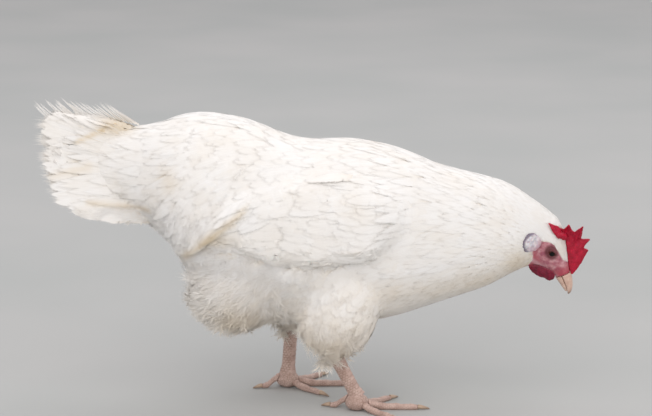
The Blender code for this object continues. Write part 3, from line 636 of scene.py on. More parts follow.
def lobe_shader():
    shader = Shader("ear_lobe", 0.5, Subsurface_Weight=0.12, Subsurface_Scale=0.002, Specular_IOR_Level=0.4)
    base = shader.ramp(shader.noise(300, 3), (0.3, (0.50, 0.43, 0.49)), (0.62, (0.76, 0.73, 0.74)))
    flushed = shader.blend(shader.attribute("blush"), base, (0.60, 0.30, 0.35))
    # Painted shade: the slate rim darkens the lobe's edge, most at its upper rear, and the troughs of its
    # folds
    shader.colour(shader.blend(shader.attribute("rim"), flushed, (0.20, 0.165, 0.21)))
    shader.bump(shader.noise(1100, 4), 0.0004, 0.6)
    return shader.material


def eye_shader():
    shader = Shader("eye", 0.09, Coat_Weight=0.1, Coat_Roughness=0.03, Specular_IOR_Level=0.16)
    streaks = shader.ramp(shader.noise(900, 4), (0.35, (0.04, 0.009, 0.006)), (0.7, (0.11, 0.024, 0.012)))
    shader.colour(shader.blend(shader.attribute("pupil"), streaks, (0.004, 0.003, 0.003)))
    return shader.material


# Skin


def ellipsoid(shape, centre, radii):
    turn = Matrix.Translation(centre) @ Matrix.Diagonal((*(Vector(radii) * MM), 1))
    bmesh.ops.create_uvsphere(shape, u_segments=40, v_segments=24, radius=1, matrix=turn)


def beside_wings(points, aside):
    """Index, side and the wing's outer y for each place that a folded wing covers.

    Only places further than aside, in metres, from the middle plane are looked at.
    """
    for name, side in SIDES.items():
        tree = tree_of(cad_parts["wing_" + name].data)
        inward = Vector((0, -side, 0))
        for i in np.flatnonzero(points[:, 1] * side > aside):
            hit = tree.ray_cast(Vector((points[i, 0], side * OUTSIDE, points[i, 2])), inward)[0]
            if hit is not None:
                yield i, side, hit.y


def raise_over_wings(points):
    """Lifts the skin to the folded wings' outer face, so that it can carry their feathers."""
    for i, side, y in beside_wings(points, 0.02):
        if y * side > points[i, 1] * side:
            points[i, 1] = y
    return points


def coat_depth(points):
    """How far the skin lies inside the solids: almost nothing on the face, the coat's depth on the body."""
    back, _, _ = head_coordinates(points)
    return mix(FACE_DEPTH, COAT_DEPTH, smooth((back - 54) / 60))


def inset(mesh):
    points, normals = points_of(mesh), normals_of(mesh)
    set_points(mesh, points - normals * coat_depth(points)[:, None])


def over_crease(x, z):
    """How far a place lies above the line where the saddle's feathers end over the wing, in millimetres."""
    return (z - CREASE_HEIGHT - CREASE_SLOPE * (x - CREASE_FRONT)) / math.hypot(1, CREASE_SLOPE)


def raise_saddle(points):
    """The saddle hangs over the rear of each wing as a soft lobe with a free edge."""
    x, y, z = design(points).T
    above = over_crease(x, z)
    lobe = smooth((above + 3.5) / 7) * np.exp(-np.maximum(above, 0) / 34)
    lobe *= smooth((CREASE_FRONT + 22 - x) / 34) * smooth((x + 140) / 30) * smooth((z - 148) / 18)
    points[:, 1] += np.sign(y) * smooth((np.abs(y) - 12) / 25) * lobe * SADDLE_RELIEF * MM
    return points


def body_surface():
    shape = joined(FLESH)
    for centre, radii in RUMP:
        ellipsoid(shape, place(*centre), radii)
    mesh = remeshed(mesh_from(shape, "body"), BODY_VOXEL, 4, "body")
    set_points(mesh, raise_over_wings(points_of(mesh)))
    eased = remeshed(mesh, BODY_VOXEL, 14, "body")
    inset(eased)
    set_points(eased, raise_saddle(points_of(eased)))
    return eased


def head_surface():
    """The head at a finer grain, cut off inside the neck, to be joined to the body."""
    shape = joined(("head", "neck"))
    mesh = remeshed(mesh_from(shape, "head_skin"), NECK_VOXEL, 0, "head_skin")
    shape = bmesh.new()
    shape.from_mesh(mesh)
    cut_place = place(*NECK_CUT)
    geometry = shape.verts[:] + shape.edges[:] + shape.faces[:]
    cut = bmesh.ops.bisect_plane(
        shape, geom=geometry, plane_co=cut_place, plane_no=-NECK_CUT_NORMAL, clear_inner=True
    )
    rim = [part for part in cut["geom_cut"] if isinstance(part, bmesh.types.BMEdge)]
    bmesh.ops.contextual_create(shape, geom=rim)
    neck_end = mesh_from(shape, "neck_end")
    shape = joined(("head",))
    shape.from_mesh(neck_end)
    for name in SIDES:
        ellipsoid(shape, middle_of("eye_" + name), (EYE_RADIUS + 0.55,) * 3)
    mesh = remeshed(mesh_from(shape, "head_skin"), HEAD_VOXEL, 6, "head_skin")
    inset(mesh)
    return mesh


def settle(mesh, body):
    """Brings the head surface's end down to the body's surface and under it, to join without a step."""
    tree = tree_of(body)
    points = points_of(mesh)
    beyond = (points - np.array(place(*NECK_CUT))) @ np.array(NECK_CUT_NORMAL) / MM
    for i in np.flatnonzero(beyond > -SETTLE_LENGTH):
        hit, normal, _, apart = tree.find_nearest(Vector(points[i]))
        if apart > SETTLE_REACH * MM:
            continue
        share = smooth((beyond[i] + SETTLE_LENGTH) / 8)
        height = np.interp(beyond[i], (-6, 0), (0.35, -1.2)) * MM
        points[i] = mix(points[i], np.array(hit + normal * height), share)
    set_points(mesh, points)


def union(first, second, name):
    base = bpy.data.objects.new(name, first)
    other = bpy.data.objects.new(name + "_other", second)
    for thing in (base, other):
        bpy.context.scene.collection.objects.link(thing)
    join = base.modifiers.new("join", "BOOLEAN")
    join.operation = "UNION"
    join.object = other
    join.solver = "MANIFOLD"
    bpy.context.view_layer.update()
    result = bpy.data.meshes.new_from_object(base.evaluated_get(bpy.context.evaluated_depsgraph_get()))
    for thing in (base, other):
        bpy.data.objects.remove(thing)
    result.name = name
    return result


def bareness(points):
    """1 on the bare face, 0 where feathers grow."""
    back, _, rise = head_coordinates(points)
    below = smooth((np.interp(back, *FACE_TOP) - rise) / 1.6 + 0.5)
    above = smooth((rise - np.interp(back, *FACE_FOOT)) / 2.5 + 0.5)
    return below * above * smooth((FACE_END - back) / 3)


def eye_axes(side):
    """The eye's own directions: out of the head, along the lids' opening and across it."""
    gaze = (HEAD_TURN @ Vector((math.sin(EYE_TURN), side * math.cos(EYE_TURN), 0))).normalized()
    slit = HEAD_TURN @ Vector((math.cos(EYE_SLANT), 0, math.sin(EYE_SLANT)))
    slit = (slit - gaze * slit.dot(gaze)).normalized()
    return np.array(gaze), np.array(slit), np.array(gaze.cross(slit))


def refine_near_eyes(mesh):
    """Splits the skin's faces around the eyes, so that the lids' edges come out smooth."""
    shape = bmesh.new()
    shape.from_mesh(mesh)
    centres = [middle_of("eye_" + name) for name in SIDES]
    for reach in (9.5, 8.0):
        near = [v for v in shape.verts if min((v.co - centre).length for centre in centres) < reach * MM]
        chosen = set(near)
        edges = [edge for edge in shape.edges if edge.verts[0] in chosen and edge.verts[1] in chosen]
        bmesh.ops.subdivide_edges(shape, edges=edges, cuts=1, use_grid_fill=True)
        bmesh.ops.triangulate(shape, faces=[face for face in shape.faces if len(face.verts) > 4])
    shape.to_mesh(mesh)
    shape.free()


def form_lids(points):
    """Lays the skin round each eyeball as lids with a raised rim and an almond opening."""
    for name, side in SIDES.items():
        gaze, slit, across = eye_axes(side)
        centre = np.array(middle_of("eye_" + name))
        offset = (points - centre) / MM
        reach = np.linalg.norm(offset, axis=1)
        along, high, out = offset @ slit, offset @ across, offset @ gaze
        part = np.clip(np.abs(along) / LID_LENGTH, 0, 1)
        edge = np.abs(high) - LID_HEIGHT * (1 - part**2)
        edge += np.maximum(np.abs(along) - LID_LENGTH, 0)
        rim = EYE_RADIUS + 0.30 + 0.50 * np.exp(-(((edge - 0.65) / 0.55) ** 2))
        rim += 0.22 * np.exp(-(((edge - 2.3) / 0.45) ** 2))
        lid = mix(rim, np.maximum(reach, EYE_RADIUS + 0.25), smooth((edge - 1.0) / 2.2))
        target = mix(EYE_RADIUS - 0.7, lid, smooth((edge + 0.25) / 0.3))
        close = smooth((8.6 - reach) / 1.5) * smooth((out - 0.5) / 1.5)
        points += (offset / np.maximum(reach, 0.1)[:, None]) * ((target - reach) * close * MM)[:, None]
    return points


def crease_face(points, normals, bare):
    """Fine folds of the bare face: wrinkles along the jaw and a granular cheek."""
    back, left, rise = head_coordinates(points)
    found = np.flatnonzero(bare > 0.05)
    rows = np.stack([back[found] * 0.28 + rise[found] * 0.15, left[found] * 0.4, rise[found] * 0.75], axis=1)
    folds = noise_at(rows * MM, 1.1 * MM, 4) * 0.22 + noise_at(points[found], 0.9 * MM, 6) * 0.08
    points[found] += normals[found] * (folds * bare[found] * MM)[:, None]
    return points


def make_skin():
    body, head = body_surface(), head_surface()
    settle(head, body)
    skin = union(body, head, "skin")
    refine_near_eyes(skin)
    points = form_lids(points_of(skin))
    set_points(skin, points)
    bare = bareness(points)
    points = crease_face(points, normals_of(skin), bare)
    set_points(skin, points)
    back, _, rise = head_coordinates(points)
    eye_distance = np.hypot((back - EYE_BACK / MM) / 1.3, rise - EYE_RISE / MM)
    shade = smooth((7.8 - eye_distance) / 3.4) * 0.85 * bare
    flush = smooth((34 - back) / 12) * 0.8 + smooth((-rise - 9) / 6) * 0.7
    jaw = rise - np.interp(back, *JAW_LINE)
    set_attribute(skin, "bare", bare)
    set_attribute(skin, "pale", 0.65 * np.exp(-((jaw / 3.2) ** 2)) * bare)
    set_attribute(skin, "shade", shade)
    set_attribute(skin, "flush", np.clip(flush, 0, 1) * bare)
    add_piece("skin", skin, skin_shader(), FLESH)
    return skin


class Ground:
    """The surface that feathers grow from: the skin, and a tent over the tail for those that cover it."""

    def __init__(self, mesh):
        shape = bmesh.new()
        shape.from_mesh(mesh)
        add_tail_tent(shape)
        bmesh.ops.triangulate(shape, faces=shape.faces)
        shape.verts.index_update()
        self.tree = BVHTree.FromBMesh(shape)
        self.corners = np.array([[vert.index for vert in face.verts] for face in shape.faces])
        self.points = np.array([tuple(vert.co) for vert in shape.verts])
        shape.normal_update()
        self.normals = np.array([tuple(vert.normal) for vert in shape.verts])
        shape.free()

    def near(self, points):
        """For each point the nearest place on the skin and the smooth normal there."""
        places, faces = np.empty_like(points), np.empty(len(points), int)
        for i, point in enumerate(points):
            hit, _, face, _ = self.tree.find_nearest(Vector(point))
            places[i], faces[i] = hit, face
        normals = self.normals[self.corners[faces]].mean(axis=1)
        return places, unit(normals)

    def under(self, x, z, side):
        """The place straight in from one side, and its normal."""
        places = np.empty((len(x), 3))
        for i in range(len(x)):
            start = Vector((x[i], side * OUTSIDE, z[i]))
            hit = self.tree.ray_cast(start, Vector((0, -side, 0)))[0]
            places[i] = hit or self.tree.find_nearest(Vector((x[i], side * 0.06, z[i])))[0]
        return self.near(places)

    def scatter(self, count, draw):
        """Random places, even over the surface."""
        a, b, c = (self.points[self.corners[:, k]] for k in range(3))
        areas = np.linalg.norm(np.cross(b - a, c - a), axis=1)
        chosen = draw.choice(len(areas), count, p=areas / areas.sum())
        u, v = draw.random(count), draw.random(count)
        fold = u + v > 1
        u[fold], v[fold] = 1 - u[fold], 1 - v[fold]
        return a[chosen] + (b - a)[chosen] * u[:, None] + (c - a)[chosen] * v[:, None]


def unit(vectors):
    return vectors / np.maximum(np.linalg.norm(vectors, axis=-1, keepdims=True), 1e-9)


class Lie:
    """Blends the marks by distance, for any places on the hen."""

    def __init__(self):
        self.places = np.array([mark[0] for mark in LIE]) * MM + SHIFT[[0, 2]]
        self.values = np.array([(*mark[1], *mark[2:]) for mark in LIE], float)

    def at(self, points):
        apart = points[:, None, [0, 2]] - self.places
        weights = np.exp(-(apart**2).sum(axis=2) / (2 * LIE_REACH**2)) + 1e-12
        blended = weights @ self.values / weights.sum(axis=1, keepdims=True)
        ways = np.zeros_like(points)
        ways[:, [0, 2]] = blended[:, :2]
        return ways, blended[:, 2] * MM, blended[:, 3] * MM, blended[:, 4] * MM


def flat_on(ways, normals):
    """Directions laid into the surface."""
    return unit(ways - (ways * normals).sum(axis=-1, keepdims=True) * normals)


# Vanes


class Vane:
    """A feather's outline as shares of its length and half width, its margin split into barbs.

    tip is the share where the vane starts to narrow, margin how deep the barbs part, slant how far they
    point ahead, root the width at the root, and round_end how blunt it ends.
    """

    def __init__(self, steps, tip, margin, slant, root, round_end):
        along = np.sin(np.pi / 2 * np.linspace(0, 1, steps + 1))
        points, triangles, tips = [], [], []
        for share in along:
            half = self.width(share, tip, root, round_end) * (1 - margin * (0.6 + 1.5 * share**2))
            points += [(share, 0.0), (share, half), (share, -half)]
        for i in range(steps):
            a, b = 3 * i, 3 * i + 3
            middle = (along[i] + along[i + 1]) / 2
            half = self.width(middle, tip, root, round_end)
            for side, sign in ((1, 1), (2, -1)):
                tips.append(len(points))
                points.append((middle + slant / steps * (0.7 + middle), sign * half))
                found = [(a, a + side, b + side), (a, b + side, b), (a + side, tips[-1], b + side)]
                triangles += [corners[::sign] for corners in found]
        self.points, self.triangles, self.tips = np.array(points), np.array(triangles), np.array(tips)

    @staticmethod
    def width(along, tip, root, round_end):
        rise = root + (1 - root) * math.sin(math.pi / 2 * min(along / 0.5, 1))
        narrowing = max(along - tip, 0) / (1 - tip)
        return rise * max(1 - narrowing**round_end, 0) ** (1 / round_end)


class Strand:
    """A single soft barb of down: a thin strip that narrows to a point."""

    def __init__(self, steps):
        along = np.linspace(0, 1, steps + 1)
        points = [(share, half * (1 - share**2)) for share in along[:-1] for half in (1, -1)] + [(1.0, 0.0)]
        triangles = []
        for i in range(steps - 1):
            a = 2 * i
            triangles += [(a, a + 1, a + 3), (a, a + 3, a + 2)]
        triangles.append((2 * steps - 2, 2 * steps - 1, 2 * steps))
        self.points, self.triangles, self.tips = np.array(points), np.array(triangles), np.array([2 * steps])


class Paths:
    """Shafts as rows of stations: place, outward normal and side direction, for many feathers at once.

    falls are how far the ground lies below the two edges of each vane, the near and the far side.
    """

    def __init__(self, places, normals, ground=None, half_widths=None):
        self.places = places
        tangents = unit(np.gradient(places, axis=0))
        self.normals = flat_on(normals, tangents)
        self.sides = unit(np.cross(self.normals, tangents))
        self.falls = np.zeros((2, *places.shape[:2]))
        if ground is None:
            return
        for i, sign in enumerate((1, -1)):
            edges = places + self.sides * (sign * half_widths)[None, :, None]
            feet = ground.near(edges.reshape(-1, 3))[0].reshape(edges.shape)
            below = ground.near(places.reshape(-1, 3))[0].reshape(edges.shape)
            over = ((places - below) * self.normals).sum(axis=2)
            fall = ((edges - feet) * self.normals).sum(axis=2) - over
            self.falls[i] = np.clip(fall, -0.25 * half_widths, 0.28 * half_widths)


def lay(ground, roots, ways, lengths, half_widths, lie=None, stations=6, stiffness=0.13):
    """Walks shafts over the skin from their roots, turning with the lie of the coat.

    A shaft bends only so far towards the skin, and flies on where the skin falls away.
    """
    places, normals = np.empty((stations, len(roots), 3)), np.empty((stations, len(roots), 3))
    spot, normal = ground.near(roots)
    way = flat_on(ways, normal)
    step = lengths / (stations - 1)
    for k in range(stations):
        places[k], normals[k] = spot, normal
        if k == stations - 1:
            break
        if lie is not None:
            way = unit(way + 0.35 * flat_on(lie.at(spot)[0], normal))
        ahead = spot + way * step[:, None]
        foot, foot_normal = ground.near(ahead)
        pull = foot - ahead
        gap = np.maximum(np.linalg.norm(pull, axis=1), 1e-7)
        sunk = (pull * foot_normal).sum(axis=1) > 0
        share = np.where(sunk, 1.0, np.minimum(1.0, stiffness * step / gap))
        moved = ahead + pull * share[:, None]
        way = unit(moved - spot)
        spot, normal = moved, flat_on(unit(mix(normal, foot_normal, share[:, None])), way)
    return Paths(places, normals, ground, half_widths)


def height_over(share, root):
    """A vane's height above the skin as a share of its lift: sunk at the root and flat at the tip."""
    rise = np.sin(np.pi / 2 * np.clip(share / 0.6, 0, 1))
    return root + (0.78 - root) * rise + 0.22 * np.clip(share, 0, 1) ** 2


def grow(
    name, paths, template, half_widths, lifts, surface, draw, *,
    camber=0.02, fray=0.04, curl=0.0, root=-0.25, stain_and_shade=0.0, root_tint=0.5,
):
    """Builds one mesh of vanes along the paths.

    lifts are the heights of the tips over the skin, camber how far the edges hang, fray how uneven the
    barbs are, curl how far tips turn up, root the height of the roots as a share of the lift, the
    per-feather stain how creamy each feather is beside its place's own cream, which is partly stain and
    partly painted warm shade, and root_tint how creamy it is at its root.
    """
    count = paths.places.shape[1]
    along = np.repeat(template.points[:, :1], count, axis=1)
    across = np.repeat(template.points[:, 1:], count, axis=1)
    along[template.tips] += draw.normal(0, fray * 0.4, (len(template.tips), count))
    across[template.tips] *= 1 + draw.normal(0, fray * 2.0, (len(template.tips), count))
    points = np.empty((*along.shape, 3))
    index = np.arange(count)
    last = len(paths.places) - 1
    for k in range(len(along)):
        share = along[k]
        at = np.clip(share, 0, 1) * last
        low = np.minimum(at.astype(int), last - 1)
        part = (at - low)[:, None]
        spot = mix(paths.places[low, index], paths.places[low + 1, index], part)
        over = np.clip(share - 1, 0, 1)[:, None] * last
        spot += (paths.places[-1] - paths.places[-2]) * over
        normal = unit(mix(paths.normals[low, index], paths.normals[low + 1, index], part))
        side = unit(mix(paths.sides[low, index], paths.sides[low + 1, index], part))
        falls = np.where(across[k] > 0, paths.falls[0][low, index], paths.falls[1][low, index])
        drop = (falls + camber * half_widths) * across[k] ** 2
        rise = lifts * height_over(share, root) + curl * lifts * share**3
        points[k] = spot + side * (half_widths * across[k])[:, None] + normal * (rise - drop)[:, None]
    size = len(along)
    ordered = points.transpose(1, 0, 2).reshape(-1, 3)
    offsets = (np.arange(count) * size)[:, None, None]
    mesh = triangle_mesh(name, ordered, (template.triangles[None] + offsets).reshape(-1, 3))
    lengths = np.linalg.norm(np.diff(paths.places, axis=0), axis=2).sum(axis=0)
    barb = np.stack([along * lengths, np.abs(across) * half_widths, along * 0], axis=2).transpose(1, 0, 2)
    set_attribute(mesh, "barb", barb.reshape(-1, 3), "FLOAT_VECTOR")
    tint = root_tint * np.clip(1 - along * 1.6, 0, 1) ** 2 + stain_and_shade
    # Adds the place's cream: stains, and painted warm shade low on the body, along the saddle's edge and in
    # two lines
    tint += stain_and_shade_at(points.reshape(-1, 3)).reshape(along.shape)
    set_attribute(mesh, "stain_and_shade", np.clip(tint, 0, 1).T.reshape(-1))
    add_bake_map(mesh, paths.places[0], template, count)
    return add_piece(name, mesh, surface)


def add_bake_map(mesh, roots, template, count):
    """Each feather is a small patch at its root's place, on a wrap of the skin around the body's axis."""
    u, v = skin_wrap(roots)
    patch = template.points * (0.0015, 0.0012)
    uv = np.stack([u[:, None] + patch[None, :, 0], v[:, None] + patch[None, :, 1]], axis=2).reshape(-1, 2)
    corners = np.empty(len(mesh.loops), int)
    mesh.loops.foreach_get("vertex_index", corners)
    layer = mesh.uv_layers.new(name="OFBake")
    layer.data.foreach_set("uv", uv[corners].ravel())


def skin_wrap(points):
    """Unrolls the skin: the body around its long axis, and each leg around its own upright axis."""
    low, high = (np.array(corner) for corner in CAD_BOUNDS)
    share = (points - low) / (high - low)
    turn = np.arctan2(points[:, 1], points[:, 2] - np.interp(share[:, 0], *WRAP_AXIS)) / (2 * np.pi) + 0.5
    u, v = 0.02 + 0.96 * share[:, 0], 0.02 + 0.70 * turn
    on_leg = points[:, 2] < LEG_TOP
    for side, start in ((1, 0.05), (-1, 0.55)):
        leg = on_leg & (points[:, 1] * side > 0.012)
        around = np.arctan2(points[:, 0] - SHIFT[0] - 0.02, points[:, 1] - side * 0.04) / (2 * np.pi) + 0.5
        u[leg] = start + 0.38 * around[leg]
        v[leg] = 0.76 + 0.2 * points[leg, 2] / LEG_TOP
    return u, v


# The coat


def spaced(points, reach):
    """Keeps points so that no two lie nearer than their reach: dart throwing in the given order."""
    cell = reach.max()
    grid, kept = {}, []
    keys = np.floor(points / cell).astype(int)
    for i, (key, point) in enumerate(zip(map(tuple, keys), points)):
        limit = reach[i] ** 2
        near = (
            j
            for dx in (-1, 0, 1)
            for dy in (-1, 0, 1)
            for dz in (-1, 0, 1)
            for j in grid.get((key[0] + dx, key[1] + dy, key[2] + dz), ())
        )
        if any(((points[j] - point) ** 2).sum() < limit for j in near):
            continue
        grid.setdefault(key, []).append(i)
        kept.append(i)
    return np.array(kept)


def under_wing(points):
    """True for places covered by a folded wing."""
    covered = np.zeros(len(points), bool)
    covered[[i for i, _, _ in beside_wings(points, 0.03)]] = True
    return covered


def spot(x, z, centre, spread):
    """1 at a centre in the side view, falling away over the spread, in millimetres."""
    return np.exp(-(((x - centre[0]) / spread[0]) ** 2) - ((z - centre[1]) / spread[1]) ** 2)


def near_line(x, z, first, last, width):
    """1 on a line between two places in the side view, falling away over the width, in millimetres."""
    run = np.array(last, float) - first
    share = np.clip(((x - first[0]) * run[0] + (z - first[1]) * run[1]) / (run @ run), 0, 1)
    apart = np.hypot(x - first[0] - share * run[0], z - first[1] - share * run[1])
    return np.exp(-((apart / width) ** 2))


def stain_and_shade_at(points):
    """How creamy the plumage is: painted warm shade towards the bottom and along the saddle's free edge,
    stains in the marked spots, and marked lines, two of which are painted shade.
    """
    x, _, z = design(points).T
    # Painted shade: cream along the saddle's free edge, where it hangs over the wing
    near_crease = np.exp(-(((over_crease(x, z) - 1) / 4) ** 2))
    stain_and_shade = 0.6 * near_crease * smooth((x + 118) / 12) * smooth((CREASE_FRONT + 6 - x) / 14)
    # Painted warm shade: creamier towards the bottom
    stain_and_shade += 0.30 * smooth((150 - z) / 90)
    stain_and_shade += sum(strength * spot(x, z, *mark) for strength, *mark in STAIN_SPOTS)
    stain_and_shade += sum(strength * near_line(x, z, *mark) for strength, *mark in STAIN_AND_SHADE_LINES)
    return stain_and_shade


def under_coverts(points):
    """True for places that the folded wing's own rows of feathers cover."""
    x, _, z = design(points).T
    return under_wing(points) & (z < np.interp(x, *WING_TOP))


def coat_roots(ground, lie, draw):
    """Roots over the whole feathered skin, closer where feathers are small."""
    points = ground.scatter(BODY_ROOTS, draw)
    head_end = ground.scatter(HEAD_ROOTS, draw)
    back, _, _ = head_coordinates(head_end)
    points = np.vstack([points, head_end[back < HEAD_REACH]])
    points = points[draw.permutation(len(points))]
    points = points[bareness(points) < 0.4]
    _, lengths, widths, _ = lie.at(points)
    reach = np.sqrt(lengths * widths * np.where(lengths < SMALL_FEATHER, SMALL_SPACING, SPACING))
    points = points[spaced(points, reach)]
    return points[~under_coverts(points)]


def tail_room(points, ways):
    """How long a feather from a place may be, the way it runs, before it passes the tail's outline."""
    x, _, z = design(points).T
    flat = unit(ways[:, [0, 2]])
    room = np.full(len(points), 1000.0)
    steps = np.linspace(0, 150, 76)
    near_tail = x < TAIL_HUB[0] - 10
    for reach in steps[::-1]:
        away_x, away_z = x + flat[:, 0] * reach - TAIL_HUB[0], z + flat[:, 1] * reach - TAIL_HUB[1]
        angle = np.degrees(np.arctan2(away_z, -away_x))
        past = np.hypot(away_x, away_z) > np.interp(angle, TAIL_ANGLES, TAIL_REACHES)
        room[past & near_tail] = reach
    return room * MM


def clear_of(paths, names, apart):
    """True for the shafts that stay clear of the named nodes."""
    shape = joined(names)
    tree = BVHTree.FromBMesh(shape)
    shape.free()
    clear = np.ones(paths.places.shape[1], bool)
    for row in paths.places[:: len(paths.places) // 3]:
        clear &= np.array([tree.find_nearest(Vector(spot))[3] > apart for spot in row])
    return clear


def regions(roots, lengths):
    """The coat's pieces: the head's small feathers, and those of each side in four parts."""
    x, y, _ = design(roots).T
    small = lengths < SMALL_FEATHER
    parts = {"feathers_small": small}
    for name, side in (("left", y > 0), ("right", y <= 0)):
        parts["feathers_neck_" + name] = ~small & side & (x > 90)
        parts["feathers_body_" + name] = ~small & side & (x <= 90) & (x > -60)
        parts["feathers_rear_" + name] = ~small & side & (x <= -60) & (x > -150)
        parts["feathers_tail_" + name] = ~small & side & (x <= -150)
    return parts


def make_coat(ground, draw):
    lie = Lie()
    roots = coat_roots(ground, lie, draw)
    ways, full_lengths, widths, lifts = lie.at(roots)
    ways += draw.normal(0, 0.07, ways.shape)
    count = len(roots)
    room = tail_room(roots, ways) * draw.uniform(0.84, 1.0, count)
    lengths = np.minimum(full_lengths * draw.uniform(0.85, 1.15, count), room)
    widths = widths * draw.uniform(0.9, 1.1, count)
    lifts = lifts * draw.uniform(0.93, 1.07, count)
    long_enough = lengths > 0.35 * full_lengths
    surface = plumage_shader("plumage", *PLUMAGE)
    for name, chosen in regions(roots, lengths).items():
        chosen = np.flatnonzero(chosen & long_enough)
        template = Vane(*next(shape for start, shape in COAT_VANES.items() if name.startswith(start)))
        halves = widths[chosen] / 2
        paths = lay(ground, roots[chosen], ways[chosen], lengths[chosen], halves, lie)
        if "small" in name or "neck" in name:
            clear = clear_of(paths, HEAD_PARTS, 0.9 * MM)
            chosen, halves = chosen[clear], halves[clear]
            paths = lay(ground, roots[chosen], ways[chosen], lengths[chosen], halves, lie)
        stain_and_shade = draw.uniform(-0.05, 0.07, len(chosen))
        sunk = -0.02 if name == "feathers_small" else -0.25
        grow(name, paths, template, halves, lifts[chosen], surface, draw, root=sunk, stain_and_shade=stain_and_shade)
    return lie, surface


class Plume:
    """A loose downy feather: a thin shaft with long slender barbs that bend and stand apart unevenly."""

    def __init__(self, barbs):
        shaft, breadth, spread = 0.03, 0.011, 0.42
        uneven = np.random.default_rng(SEED)
        points, triangles, self.tips = [], [], []
        rows = np.linspace(0.02, 0.9, barbs) + uneven.normal(0, 0.012, barbs)
        for share in rows:
            for side in (1, -1):
                start = len(points)
                tip = share + spread * uneven.uniform(0.25, 1.15)
                reach = (1 - 0.5 * share) * uneven.uniform(0.35, 1.05)
                middle = mix(share, tip, uneven.uniform(0.3, 0.6))
                bend = reach * uneven.uniform(0.45, 0.75)
                points += [(share, side * shaft), (share + breadth, side * shaft)]
                points += [(middle, side * bend), (middle + 0.8 * breadth, side * (bend - 0.03))]
                points.append((tip, side * reach))
                found = [(0, 2, 1), (1, 2, 3), (3, 2, 4)]
                triangles += [tuple(start + corner for corner in corners[::side]) for corners in found]
                self.tips.append(start + 4)
        start = len(points)
        points += [(0.0, shaft), (0.0, -shaft), (1.0, 0.0)]
        triangles.append((start, start + 1, start + 2))
        self.points, self.triangles, self.tips = np.array(points), np.array(triangles), np.array(self.tips)


def softness(points):
    """How loose the coat is: most at the fluff, some on the thighs, the belly and under the tail."""
    x, _, z = design(points).T
    return sum(strength * spot(x, z, *mark) for strength, *mark in SOFT_SPOTS)


def make_down(ground, lie, draw):
    """Downy plumes and loose wisps over the fluff, the thighs' edges and the belly."""
    # The down's lighter colours are painted light, lifting the shade among its fine barbs
    surface = plumage_shader("down", *DOWN_LIGHTENED, 0.4)
    points = ground.scatter(DOWN_ROOTS, draw)
    soft = softness(points)
    points = points[(draw.random(len(points)) < soft * 1.5) & ~under_wing(points)]
    for label, reach, template, size, width, height in (
        ("plumes", 4.7, Plume(38), (22, 36), (7.0, 10.5), (0.9, 1.7)),
        ("wisps", 1.6, Strand(4), (14, 30), (0.12, 0.26), (1.0, 2.1)),
    ):
        roots = points[spaced(points, np.full(len(points), reach * MM))]
        for name, half in (("left", roots[:, 1] > 0), ("right", roots[:, 1] <= 0)):
            chosen = roots[half]
            count = len(chosen)
            ways, _, _, lifts = lie.at(chosen)
            ways += draw.normal(0, 0.34, ways.shape)
            lengths = draw.uniform(*size, count) * MM * mix(0.5, 1.0, softness(chosen).clip(0, 1))
            widths = draw.uniform(*width, count) * MM * (lengths / (size[1] * MM)) ** 0.5
            paths = lay(ground, chosen, ways, lengths, widths, None, 5, 0.07)
            rise = lifts * draw.uniform(*height, count)
            stain_and_shade = draw.uniform(-0.1, 0.12, count)
            grow(
                f"{label}_{name}", paths, template, widths, rise, surface, draw,
                fray=0.14, curl=0.3, stain_and_shade=stain_and_shade, root_tint=0.1,
            )
        points = points[draw.permutation(len(points))]


# Wing and tail


def flank_paths(ground, side, roots, tips, half, stations=8):
    """Shafts across the side of the body between places in millimetres of the side view."""
    roots, tips = np.array(roots, float), np.array(tips, float)
    shares = np.linspace(0, 1, stations)
    places, normals = np.empty((stations, len(roots), 3)), np.empty((stations, len(roots), 3))
    for k, share in enumerate(shares):
        x, z = (mix(roots, tips, share) * MM + SHIFT[[0, 2]]).T
        places[k], normals[k] = ground.under(x, z, side)
    return Paths(places, normals, ground, np.full(len(roots), half * MM))


def wing_rows():
    """Rows of the folded wing from the lowest layer out: name, roots, tips, half width and lift."""
    rows = []
    shares = np.linspace(0, 1, 5)
    roots = [(-2, mix(172, 163, s)) for s in shares]
    tips = [(-99 + 15 * s, mix(173, 166, s)) for s in shares]
    rows.append(("primaries", roots, tips, 9, 0.9))
    shares = np.linspace(0, 1, 13)
    roots = [(mix(40, 22, s), mix(213, 152, s)) for s in shares]
    bows = [math.sin(math.pi * (0.12 + 0.74 * s)) for s in shares]
    tips = [(-54 - 32 * bow + 24 * s**2, mix(198, 157, s)) for s, bow in zip(shares, bows)]
    rows.append(("secondaries", roots, tips, 11, 1.1))
    for name, count, back, front, reach, half, lift in WING_COVERTS:
        shares = np.linspace(0, 1, count)
        bulge = np.sin(np.pi * shares)
        roots = [(back + (front - back) * 0.35 * b, mix(215, 149, s)) for s, b in zip(shares, bulge)]
        tips = [(x - reach * (0.85 + 0.25 * b), z - 8) for (x, z), b in zip(roots, bulge)]
        rows.append((name, roots, tips, half, lift))
    return rows


